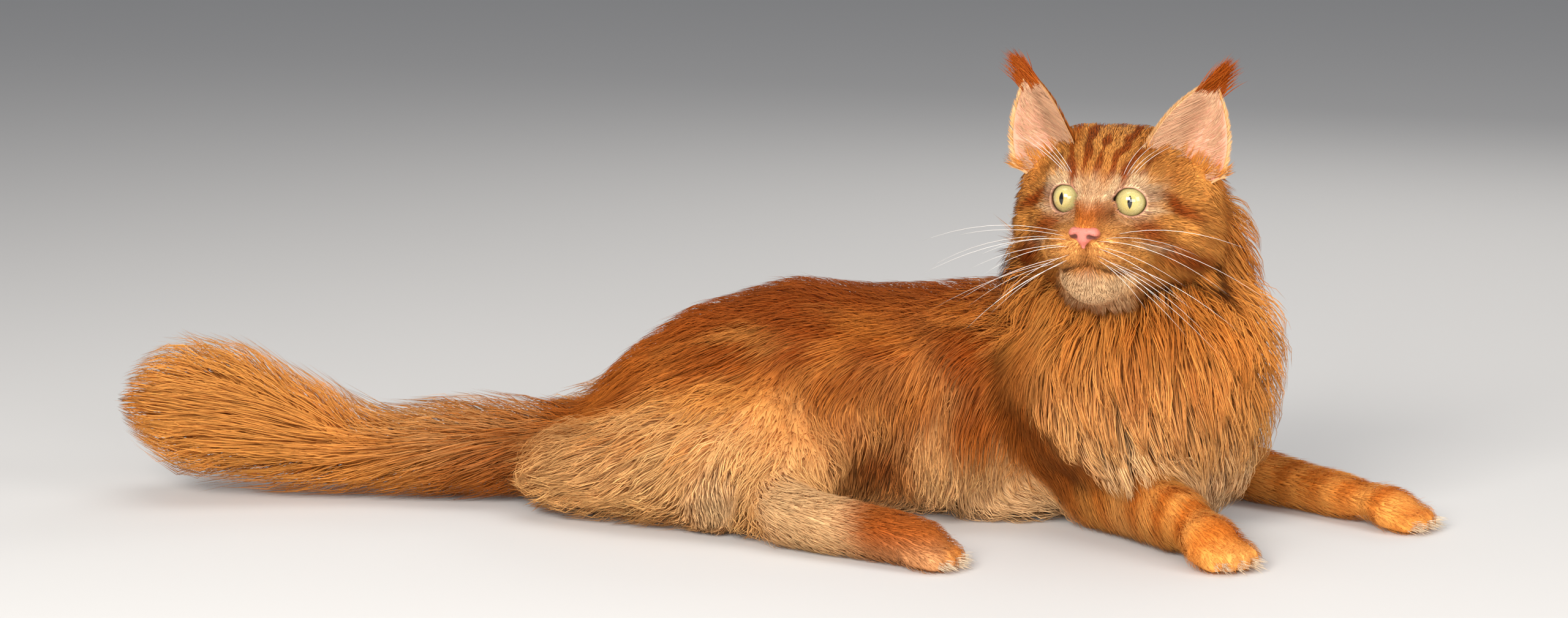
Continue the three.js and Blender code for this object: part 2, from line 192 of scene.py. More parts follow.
# ------------------------------------------------------------------ the coat's plan
# place x, y, z | lie of the hair | coat depth, lock length, lock width | part
SEEDS = [
    # back, from the withers to the rump
    (0, 132, 158, -1.0, 0.0, -0.08, 11, 25, 1.1, "back"),
    (60, 128, 156, -1.0, -0.02, -0.05, 11, 24, 1.1, "back"),
    (120, 124, 158, -1.0, -0.05, -0.05, 12, 25, 1.1, "back"),
    (185, 120, 165, -1.0, 0.0, -0.2, 16, 30, 1.2, "back"),
    (-60, 140, 136, -0.9, 0.0, -0.42, 12, 30, 1.2, "back"),
    (-105, 150, 100, -0.84, 0.0, -0.54, 14, 38, 1.3, "back"),
    (-140, 158, 72, -0.88, 0.0, -0.45, 18, 46, 1.4, "back"),
    # right flank
    (130, 62, 122, -0.8, -0.15, -0.55, 12, 26, 1.1, "flank"),
    (70, 60, 135, -0.95, -0.1, -0.25, 12, 27, 1.1, "flank"),
    (20, 66, 132, -0.92, -0.1, -0.35, 12, 28, 1.1, "flank"),
    (-40, 72, 118, -0.85, -0.1, -0.5, 13, 32, 1.2, "flank"),
    (-90, 95, 84, -0.85, -0.1, -0.5, 15, 40, 1.3, "flank"),
    (95, 46, 100, -0.35, -0.1, -0.93, 14, 28, 1.1, "flank"),
    (40, 46, 92, -0.75, -0.15, -0.62, 15, 30, 1.2, "flank"),
    (130, 44, 80, -0.45, -0.1, -0.88, 14, 28, 1.1, "flank"),
    (60, 50, 50, -0.35, -0.15, -0.9, 18, 32, 1.2, "flank"),
    (140, 52, 35, -0.2, -0.2, -0.95, 18, 34, 1.2, "belly"),
    # left flank
    (120, 205, 110, -0.85, 0.15, -0.5, 13, 28, 1.2, "flank"),
    (40, 212, 105, -0.85, 0.15, -0.5, 13, 30, 1.2, "flank"),
    (110, 204, 50, -0.4, 0.2, -0.9, 20, 38, 1.4, "belly"),
    (180, 200, 100, -0.6, 0.2, -0.8, 14, 28, 1.2, "flank"),
    # under the body
    (60, 127, 4, -0.9, 0.0, -0.1, 8, 26, 1.6, "belly"),
    (160, 122, 4, -0.9, 0.0, -0.1, 8, 26, 1.6, "belly"),
    (-60, 140, 10, -0.9, 0.0, -0.1, 10, 30, 1.6, "belly"),
    # hanging fringe of the belly
    (104, 42, 104, -0.1, -0.25, -0.96, 16, 34, 1.3, "belly"),
    (104, 34, 70, 0.05, -0.2, -0.98, 22, 42, 1.4, "belly"),
    (110, 36, 36, 0.0, -0.25, -0.95, 22, 44, 1.5, "belly"),
    (160, 70, 10, 0.85, -0.35, -0.2, 8, 30, 1.4, "belly"),
    # right thigh and breeches
    (-100, 72, 92, -0.85, -0.2, -0.5, 18, 42, 1.4, "haunch"),
    (-50, 48, 104, -0.7, -0.3, -0.6, 18, 38, 1.4, "haunch"),
    (0, 40, 98, -0.2, -0.62, -0.6, 16, 30, 1.2, "haunch"),
    (44, 44, 78, 0.55, -0.5, -0.65, 13, 26, 1.2, "haunch"),
    (-175, 100, 36, -0.95, -0.1, -0.25, 20, 46, 1.5, "haunch"),
    (-130, 62, 44, -0.93, -0.2, -0.3, 24, 50, 1.6, "haunch"),
    (-70, 32, 60, -0.8, -0.35, -0.45, 24, 46, 1.5, "haunch"),
    (-20, 16, 60, -0.55, -0.4, -0.7, 22, 40, 1.5, "haunch"),
    (24, 16, 56, -0.1, -0.45, -0.88, 18, 34, 1.4, "haunch"),
    (50, 40, 44, 0.4, -0.35, -0.8, 14, 28, 1.3, "haunch"),
    (-90, 40, 16, -0.75, -0.45, -0.5, 20, 40, 1.6, "haunch"),
    (-30, 22, 22, -0.5, -0.5, -0.6, 16, 30, 1.5, "haunch"),
    # left thigh
    (-160, 220, 44, -0.9, 0.25, -0.3, 22, 48, 1.6, "haunch"),
    (-70, 236, 70, -0.8, 0.35, -0.5, 22, 42, 1.6, "haunch"),
    (20, 238, 60, -0.2, 0.35, -0.9, 18, 34, 1.5, "haunch"),
    # right hind foot
    (-40, 28, 30, 0.3, -0.4, -0.8, 10, 22, 1.1, "hindleg"),
    (0, 2, 34, 0.82, -0.56, -0.1, 7, 16, 0.9, "hindleg"),
    (40, -24, 30, 0.84, -0.53, -0.1, 6, 14, 0.8, "hindleg"),
    (80, -48, 28, 0.85, -0.5, -0.25, 4.5, 10, 0.65, "hindleg"),
    (108, -64, 14, 0.85, -0.5, -0.45, 3, 8, 0.55, "hindleg"),
    # left hind foot
    (0, 216, 30, 1.0, 0.0, -0.1, 7, 15, 1.0, "hindleg"),
    (60, 212, 28, 1.0, -0.05, -0.1, 6, 14, 0.9, "hindleg"),
    (115, 206, 20, 0.98, -0.1, -0.2, 5, 12, 0.8, "hindleg"),
    # right shoulder and foreleg
    (172, 46, 118, -0.45, -0.2, -0.86, 12, 26, 1.1, "foreleg"),
    (168, 38, 84, -0.2, -0.2, -0.95, 11, 24, 1.0, "foreleg"),
    (180, 38, 52, 0.35, -0.35, -0.86, 10, 20, 1.0, "foreleg"),
    (195, 60, 55, 0.5, -0.6, -0.55, 9, 18, 0.9, "foreleg"),
    (218, 40, 50, 0.38, -0.62, -0.68, 8, 16, 0.75, "foreleg"),
    (244, 8, 44, 0.38, -0.68, -0.62, 7, 14, 0.7, "foreleg"),
    (262, -25, 38, 0.42, -0.76, -0.48, 6, 12, 0.65, "foreleg"),
    (284, -62, 28, 0.5, -0.84, -0.3, 3.5, 8, 0.55, "foreleg"),
    (292, -80, 12, 0.45, -0.8, -0.5, 3, 8, 0.55, "foreleg"),
    # left shoulder and foreleg
    (270, 215, 90, 0.0, 0.3, -0.95, 12, 24, 1.2, "foreleg"),
    (296, 190, 55, 0.4, -0.1, -0.85, 9, 20, 1.1, "foreleg"),
    (318, 156, 40, 0.75, -0.65, -0.1, 7, 16, 0.9, "foreleg"),
    (356, 120, 32, 0.72, -0.68, -0.05, 6, 14, 0.8, "foreleg"),
    (390, 82, 30, 0.72, -0.68, -0.1, 5, 12, 0.7, "foreleg"),
    (420, 56, 26, 0.78, -0.6, -0.3, 3.5, 8, 0.55, "foreleg"),
    (440, 44, 12, 0.8, -0.55, -0.4, 3, 9, 0.55, "foreleg"),
    # tail
    (-165, 160, 72, -0.97, 0.0, -0.2, 24, 52, 1.5, "tail"),
    (-170, 118, 36, -0.9, -0.08, -0.42, 26, 55, 1.5, "tail"),
    (-215, 160, 75, -0.98, 0.0, 0.05, 27, 56, 1.5, "tail"),
    (-215, 115, 38, -0.95, -0.05, -0.3, 28, 60, 1.5, "tail"),
    (-262, 165, 66, -0.99, 0.0, 0.0, 26, 60, 1.5, "tail"),
    (-265, 120, 32, -0.97, -0.05, -0.22, 28, 62, 1.6, "tail"),
    (-310, 168, 62, -0.94, 0.0, 0.32, 24, 62, 1.6, "tail"),
    (-310, 124, 32, -0.99, 0.0, -0.06, 28, 64, 1.6, "tail"),
    (-350, 168, 100, -0.86, 0.0, 0.5, 34, 66, 1.6, "tail"),
    (-350, 118, 50, -0.95, -0.02, 0.28, 34, 70, 1.6, "tail"),
    (-350, 168, 4, -0.99, 0.0, 0.08, 26, 66, 1.7, "tail"),
    (-392, 168, 118, -0.93, 0.0, 0.22, 38, 66, 1.6, "tail"),
    (-395, 116, 66, -0.98, -0.05, 0.1, 38, 70, 1.6, "tail"),
    (-395, 168, 8, -0.95, 0.0, 0.25, 34, 68, 1.7, "tail"),
    (-440, 168, 96, -0.93, 0.0, 0.15, 30, 46, 1.5, "tail"),
    (-450, 150, 60, -0.98, -0.02, 0.02, 28, 40, 1.5, "tail"),
    (-435, 168, 24, -0.95, 0.0, 0.1, 28, 46, 1.6, "tail"),
    (-215, 205, 38, -0.99, 0.05, -0.1, 28, 60, 1.6, "tail"),
    (-310, 212, 34, -0.98, 0.0, 0.15, 28, 62, 1.7, "tail"),
    (-395, 220, 66, -0.98, 0.05, 0.1, 38, 68, 1.7, "tail"),
    # ruff, from the throat down to its point
    (228, -6, 172, 0.0, -0.5, -0.86, 24, 44, 1.4, "ruff"),
    (188, 0, 170, -0.25, -0.35, -0.9, 26, 48, 1.4, "ruff"),
    (275, 0, 172, 0.3, -0.35, -0.88, 26, 48, 1.4, "ruff"),
    (232, -16, 142, 0.04, -0.35, -0.93, 32, 56, 1.5, "ruff"),
    (172, 6, 140, -0.12, -0.25, -0.96, 32, 56, 1.5, "ruff"),
    (298, 8, 140, 0.36, -0.2, -0.9, 34, 58, 1.5, "ruff"),
    (144, 36, 140, -0.2, 0.0, -0.97, 30, 52, 1.5, "ruff"),
    (338, 40, 140, 0.62, 0.0, -0.78, 30, 58, 1.5, "ruff"),
    (240, -14, 108, 0.1, -0.2, -0.97, 34, 60, 1.5, "ruff"),
    (185, 6, 104, 0.22, -0.12, -0.96, 30, 54, 1.5, "ruff"),
    (300, 6, 104, 0.05, -0.1, -0.98, 34, 60, 1.5, "ruff"),
    (345, 44, 104, 0.5, 0.0, -0.86, 28, 60, 1.5, "ruff"),
    (222, 14, 74, 0.35, -0.05, -0.93, 26, 52, 1.5, "ruff"),
    (268, 6, 70, 0.14, -0.05, -0.98, 28, 56, 1.5, "ruff"),
    (318, 30, 68, -0.12, 0.0, -0.98, 28, 56, 1.5, "ruff"),
    (262, 30, 42, 0.3, 0.0, -0.94, 20, 46, 1.5, "ruff"),
    (300, 40, 36, -0.05, 0.0, -0.98, 20, 46, 1.5, "ruff"),
    # mane behind the cheeks and over the nape
    (196, 66, 268, -0.5, 0.5, -0.7, 10, 26, 1.1, "neck"),
    (266, 72, 268, 0.6, 0.5, -0.6, 10, 28, 1.1, "neck"),
    (160, 52, 226, -0.62, 0.25, -0.72, 14, 32, 1.2, "neck"),
    (146, 56, 192, -0.38, 0.1, -0.92, 20, 44, 1.3, "neck"),
    (300, 62, 226, 0.68, 0.2, -0.68, 14, 36, 1.2, "neck"),
    (316, 62, 192, 0.45, 0.05, -0.9, 20, 48, 1.3, "neck"),
    (150, 84, 150, -0.35, 0.2, -0.9, 26, 46, 1.4, "neck"),
    (318, 90, 150, 0.35, 0.2, -0.9, 28, 50, 1.5, "neck"),
    (228, 96, 254, 0.0, 0.8, -0.6, 12, 30, 1.2, "neck"),
    (229, 112, 215, 0.0, 0.45, -0.9, 24, 44, 1.5, "neck"),
    (232, 130, 175, -0.2, 0.4, -0.88, 24, 44, 1.5, "neck"),
]
SP = np.array([s[:3] for s in SEEDS], float)
SD = unit(np.array([s[3:6] for s in SEEDS], float))
SV = np.array([s[6:9] for s in SEEDS], float)
PARTS = ["back", "flank", "belly", "haunch", "hindleg", "foreleg", "tail", "ruff", "neck"]
SL = np.array([PARTS.index(s[9]) for s in SEEDS])


def plan(p, want="all"):
    """Lie, (depth, length, width) and nearest part at each point, blended from the seeds."""
    out_d = np.empty((len(p), 3)); out_v = np.empty((len(p), 3)); out_l = np.empty(len(p), np.int64)
    for s in range(0, len(p), 60000):
        q = p[s:s + 60000]
        d2 = np.maximum((q ** 2).sum(1)[:, None] - 2 * q @ SP.T + (SP ** 2).sum(1)[None], 0)
        w = 1.0 / (d2 + 90.0) ** 2.2
        w /= w.sum(1, keepdims=True)
        out_d[s:s + 60000] = w @ SD
        out_v[s:s + 60000] = w @ SV
        out_l[s:s + 60000] = SL[d2.argmin(1)]
    return unit(out_d), out_v, out_l


class Carpet(Field):
    """Several values per grid point: the lie of the hair, depth, length and width of the coat."""

    def at(self, p):
        q = np.clip((p - self.low) / self.step, 0, np.array(self.v.shape[:3]) - 1.001)
        i = q.astype(np.int64)
        f = (q - i).astype(np.float32)
        sy = self.v.shape[2]; sx = self.v.shape[1] * sy
        flat = self.v.reshape(-1, self.v.shape[3])
        base = i[:, 0] * sx + i[:, 1] * sy + i[:, 2]
        out = 0
        for dx in (0, 1):
            for dy in (0, 1):
                for dz in (0, 1):
                    w = (f[:, 0] if dx else 1 - f[:, 0]) * (f[:, 1] if dy else 1 - f[:, 1]) * (f[:, 2] if dz else 1 - f[:, 2])
                    out = out + w[:, None] * flat[base + dx * sx + dy * sy + dz]
        return out


def member(p):
    """How much each point belongs to each part of the coat, softly."""
    out = np.empty((len(p), len(PARTS)))
    onehot = np.eye(len(PARTS))[SL]
    for s in range(0, len(p), 60000):
        q = p[s:s + 60000]
        d2 = (q ** 2).sum(1)[:, None] - 2 * q @ SP.T + (SP ** 2).sum(1)[None]
        w = 1.0 / (np.maximum(d2, 0) + 60.0) ** 3.2
        out[s:s + 60000] = (w @ onehot) / w.sum(1, keepdims=True)
    return out


# ------------------------------------------------------------------ the body's outline and skin
HEAD_NODES = {"head", "muzzle", "chin", "ear_right", "ear_left", "ear_tuft_right", "ear_tuft_left", "eye_right", "eye_left", "nose"}
STEP = 3.0
LOW = np.array([-480.0, -130.0, -12.0])
SHAPE = (320, 136, 118)


def node_mesh(names):
    vs, fs, n = [], [], 0
    for name in names:
        me = NODES[name].data
        v = np.empty(len(me.vertices) * 3); me.vertices.foreach_get("co", v)
        me.calc_loop_triangles()
        f = np.empty(len(me.loop_triangles) * 3, np.int64); me.loop_triangles.foreach_get("vertices", f)
        vs.append(v.reshape(-1, 3) / MM - SHIFT); fs.append(f.reshape(-1, 3) + n); n += len(me.vertices)
    return np.concatenate(vs), np.concatenate(fs)


v, f = node_mesh([n for n in NODES if n not in HEAD_NODES])
first = level_set(v, f, LOW, STEP, SHAPE, 12)
pts, quads = to_mesh(first, 1.2)  # closes the cuts between the nodes
envelope = level_set(pts, quads, LOW, STEP, SHAPE, 66)
envelope.v = blur(envelope.v, 3) + 1.2

whole_v, whole_f = node_mesh([n for n in NODES if not n.startswith(("ear_", "eye_", "nose"))])
first = level_set(whole_v, whole_f, LOW, STEP, SHAPE, 12)
pts, quads = to_mesh(first, 1.2)
outer_all = level_set(pts, quads, LOW, STEP, SHAPE, 66)
outer_all.v = blur(outer_all.v, 1) + 1.2

C_STEP = 6.0
C_SHAPE = (161, 69, 60)
gx, gy, gz = np.meshgrid(*[LOW[k] + C_STEP * np.arange(C_SHAPE[k]) for k in range(3)], indexing="ij")
grid_points = np.stack([gx, gy, gz], -1).reshape(-1, 3)
gd, gv, _ = plan(grid_points)
carpet = Carpet(LOW, C_STEP, np.concatenate([gd, gv], 1).reshape(C_SHAPE + (6,)))
fx, fy, fz = np.meshgrid(*[LOW[k] + STEP * np.arange(SHAPE[k]) for k in range(3)], indexing="ij")
fine_points = np.stack([fx, fy, fz], -1).reshape(-1, 3)
near = (envelope.v.reshape(-1) < 4)
depth_grid = np.full(len(fine_points), 20.0)
depth_grid[near] = carpet.at(fine_points[near])[:, 3]
depth_grid = depth_grid.reshape(SHAPE)
skin_field = Field(LOW, STEP, blur(np.where(envelope.v < 4, envelope.v + np.maximum(depth_grid * 0.92 - 3.0, 1.2), envelope.v + 20), 1))
del gx, gy, gz, fx, fy, fz, fine_points, grid_points, near


# ------------------------------------------------------------------ the head's skin, in its own axes
def ellipsoid(p, c, r):
    r = np.asarray(r, float)
    q = (p - np.asarray(c, float)) / r
    k = np.linalg.norm(q, axis=-1)
    g = np.linalg.norm(q / r, axis=-1) + 1e-9
    return k * (k - 1) / g


def capsule(p, a, b, ra, rb):
    a, b = np.asarray(a, float), np.asarray(b, float)
    ba = b - a
    h = np.clip(((p - a) @ ba) / (ba @ ba), 0, 1)
    return np.linalg.norm(p - a - h[..., None] * ba, axis=-1) - (ra + (rb - ra) * h)


EYE = np.array([20.8, 31.0, 3.0])
EYE_R = 11.2


def gaze(side):
    return unit(np.array([side * 0.20, 0.97, 0.03]))


def eye_axes(side):
    f = gaze(side)
    a = unit(np.cross(f, [0, 0, 1.0]))  # to the cat's right
    return a, f, np.cross(a, f)


def aperture(p, side):
    """Signed distance to the opening between the lids, in the plane across the eye."""
    a, f, u = eye_axes(side)
    q = p - EYE * (side, 1, 1)
    x, y, z = (q @ a) * side, q @ f, q @ u  # x outwards
    ang = math.radians(14)  # the inner corner sits lower than the outer one
    xr, zr = x * math.cos(ang) - z * math.sin(ang), x * math.sin(ang) + z * math.cos(ang)
    body = np.sqrt((xr / 10.3) ** 2 + ((zr + 0.1) / 8.9) ** 2) - 1
    corner = np.sqrt(((xr + 9.4) / 2.2) ** 2 + ((zr + 1.0) / 1.5) ** 2) - 1
    return smin(body * 9.6, corner * 1.8, 1.4), y


def head_skin(p):
    ax = np.abs(p[:, 0:1])
    m = np.concatenate([ax, p[:, 1:]], 1)  # mirrored to one side
    d = ellipsoid(p, (0, -8, 0), (47, 46, 46.5))
    d = smin(d, ellipsoid(p, (0, 17, 12), (31, 25, 23)), 10)
    d = smin(d, ellipsoid(m, (32, -4, -16), (29, 30, 28)), 12)
    d = smin(d, ellipsoid(m, (27, 20, -14), (17, 17, 16)), 10)
    d = smin(d, ellipsoid(p, (0, 18, -30), (27, 27, 22)), 12)
    d = smin(d, capsule(p, (0, 26, 12), (0, 47, 0), 12.5, 9.5), 7)
    d = smin(d, capsule(p, (0, 47, 0), (0, 62, -11), 9.5, 7.2), 4)
    d = smin(d, ellipsoid(p, (0, 44, -22), (18, 16, 14)), 7)
    d = smin(d, ellipsoid(m, (12.0, 53.5, -26.5), (14.5, 13.0, 11.5)), 3.5)  # whisker pads
    d = smin(d, ellipsoid(m, (20, 43, -28), (13, 15, 11.5)), 6)
    chin = smin(ellipsoid(p, (0, 46, -49), (14.5, 12, 12)), ellipsoid(p, (0, 30, -46), (24, 22, 16)), 8)
    d = smin(d, chin, 2.2)
    d = smin(d, ellipsoid(m, (20, 27, 17), (15, 10, 7)), 7)  # brow
    d = smin(d, ellipsoid(m, (43, -18, 16), (12, 10, 12)), 9)  # under the ear
    d = smin(d, ellipsoid(m, (50, -14, 2), (15, 16, 22)), 10)  # temple
    d = smin(d, ellipsoid(m, (25, -8, 35), (15, 12, 11.5)), 8)  # between crown and ear
    full = outer_all.at(from_head(p)) + 12 + 50 * smooth01(p[:, 1], 4, 30) + 70 * smooth01(-p[:, 2], 18, 42) + 60 * smooth01(-p[:, 1], 30, 52)
    d = smin(d, full, 8)
    # the crease between the pads, and the mouth under them
    d = np.maximum(d, -(capsule(p, (0, 69.5, -22), (0, 64, -37), 0.9, 1.1)))
    mouth = capsule(m, (0, 62, -37.5), (9, 57, -38.5), 1.2, 1.0)
    mouth = np.minimum(mouth, capsule(m, (9, 57, -38.5), (20, 44, -36), 1.0, 0.8))
    d = -smin(-d, mouth, 1.6)
    d = -smin(-d, ellipsoid(p, (0, 61.0, -38.6), (4.2, 4, 1.9)), 1.0)
    # lids round each eye, and the hollow that holds it
    for side in (1, -1):
        a, f, u = eye_axes(side)
        c = EYE * (side, 1, 1)
        q = p - c
        dist = np.linalg.norm(q, axis=1)
        hollow, y = aperture(p, side)
        d = smin(d, dist - (EYE_R + 2.3), 4.5)
        opening = np.maximum(hollow, -y)
        rim = np.maximum(opening, dist - EYE_R - 12)
        d = -smin(-d, rim, 0.8)
        d = np.maximum(d, EYE_R + 0.25 - dist)
        d = np.minimum(d, np.linalg.norm(q - (-10.2 * side * a + f * 5.6 - u * 2.6), axis=1) - 1.9)  # the pink corner
    return d


H_STEP = 1.3
H_LOW = np.array([-72.0, -64.0, -72.0])
H_SHAPE = (112, 109, 99)
hx, hy, hz = np.meshgrid(*[H_LOW[k] + H_STEP * np.arange(H_SHAPE[k]) for k in range(3)], indexing="ij")
head_points = np.stack([hx, hy, hz], -1).reshape(-1, 3)
head_field = Field(H_LOW, H_STEP, head_skin(head_points).reshape(H_SHAPE))
del hx, hy, hz, head_points

def toe_field(p, spot, heading, half, radius, low):
    """Four toes side by side, as rounded capsules."""
    a = math.radians(heading)
    f = np.array([math.cos(a), math.sin(a), 0]); r = np.array([-f[1], f[0], 0])
    d = np.full(len(p), 1e3)
    for k in (-1.5, -0.5, 0.5, 1.5):
        on = -k * k * radius * 0.22
        q = np.array([spot[0], spot[1], 0]) + f * on + r * k * half * 0.46
        d = np.minimum(d, capsule(p, q - f * 14 + (0, 0, radius * 1.1), q + f * 3 + (0, 0, radius * 0.80), radius * 0.86 - low, radius * 0.80 - low))
    return d


TOES = (((288, -68), -60, 20, 9.6), ((426, 50), -38, 19, 8.8), ((104, -61), -30, 18, 8.8), ((117, 204), -8, 16, 8.4))


class Both:
    """The body's and the head's skin together, in W."""

    def _two(self, p):
        h = to_head(p)
        inside = ((h > H_LOW) & (h < H_LOW + H_STEP * (np.array(H_SHAPE) - 1))).all(1)
        a = skin_field.at(p)
        b = np.where(inside, head_field.at(h), 1e3)
        return a, b, h

    def at(self, p):
        a, b, _ = self._two(p)
        return np.minimum(a, b)

    def slope(self, p):
        a, b, h = self._two(p)
        return np.where((a < b)[:, None], skin_field.slope(p), head_field.slope(h) @ HB)


both = Both()

# ------------------------------------------------------------------ ears: thin curled shells
EAR_PATH = np.array([[38.0, -12, 16], [41.5, -10, 28], [48.5, -7, 43], [55.5, -6, 61], [62, -6, 79]])
EAR_WIDE = np.array([17.0, 25.5, 24.5, 16.5, 2.2])
EAR_BEND = np.array([0.62, 0.56, 0.44, 0.36, 0.3])


def spline(points, t):
    """Catmull-Rom through the rows of points, t in 0..1."""
    n = len(points) - 1
    x = np.clip(t, 0, 1) * n
    i = np.minimum(x.astype(int), n - 1)
    f = (x - i)[:, None]
    pad = np.concatenate([[2 * points[0] - points[1]], points, [2 * points[-1] - points[-2]]])
    a, b, c, d = pad[i], pad[i + 1], pad[i + 2], pad[i + 3]
    return 0.5 * (2 * b + (c - a) * f + (2 * a - 5 * b + 4 * c - d) * f ** 2 + (3 * b - a - 3 * c + d) * f ** 3)


def ear_point(side, h, across, off=0.0):
    """A point of the ear's middle sheet: h from base to tip, across -1 (inner edge) to 1 (outer), off along its normal."""
    path = spline(EAR_PATH, h)
    tan = unit(spline(EAR_PATH, h + 0.02) - spline(EAR_PATH, h - 0.02))
    ref = np.array([0.42, 0.9, 0.05])
    across_axis = unit(np.cross(ref, tan))  # towards the outer edge
    normal = np.cross(tan, across_axis)
    wide = spline(EAR_WIDE[:, None], h)[:, 0]
    bend = spline(EAR_BEND[:, None], h)[:, 0]
    cup = bend * wide * across ** 2
    fold = 2.2 * np.exp(-((across - 0.72) / 0.1) ** 2) * smooth01(0.45 - h, 0, 0.3)
    p = path + across_axis * (wide * across)[:, None] + normal * (cup + off + fold)[:, None]
    p[:, 0] *= side
    return p


def ear_normal(side, h, across):
    e = 0.01
    a = ear_point(side, h + e, across) - ear_point(side, h - e, across)
    b = ear_point(side, h, across + e) - ear_point(side, h, across - e)
    n = unit(np.cross(b, a))
    return np.where((n[:, 1] < 0)[:, None], -n, n)  # forwards, out of the opening


def ear_shell(side):
    rows, cols = 26, 36
    vs = []
    for j in range(rows + 1):
        h = np.full(cols, j / rows * 0.995)
        phi = 2 * math.pi * np.arange(cols) / cols
        across = np.cos(phi)
        thick = (1.5 - 0.9 * j / rows) * np.sin(phi)
        vs.append(ear_point(side, h, across, thick))
    v = np.concatenate(vs + [ear_point(side, np.ones(1), np.zeros(1)), ear_point(side, np.zeros(1), np.zeros(1))])
    fs = []
    for j in range(rows):
        for i in range(cols):
            a, b = j * cols + i, j * cols + (i + 1) % cols
            fs.append((a, b, b + cols)); fs.append((a, b + cols, a + cols))
    top, bottom = (rows + 1) * cols, (rows + 1) * cols + 1
    for i in range(cols):
        k = (i + 1) % cols
        fs.append((rows * cols + i, rows * cols + k, top)); fs.append((k, i, bottom))
    f = np.array(fs)
    if side < 0:
        f = f[:, ::-1]
    return v, f


# ------------------------------------------------------------------ colours (linear), by place
RED = np.array([0.36, 0.060, 0.004])
DEEP = np.array([0.23, 0.033, 0.002])
ORANGE = np.array([0.58, 0.140, 0.012])
AMBER = np.array([0.76, 0.262, 0.038])
GOLD = np.array([0.86, 0.385, 0.085])
CREAM = np.array([0.92, 0.55, 0.215])
PALE = np.array([0.93, 0.66, 0.38])
EAR_PINK = np.array([0.82, 0.45, 0.27])
PINK = np.array([0.74, 0.36, 0.27])


def mix(a, b, w):
    return a + (b - a) * np.clip(w, 0, 1)[:, None]


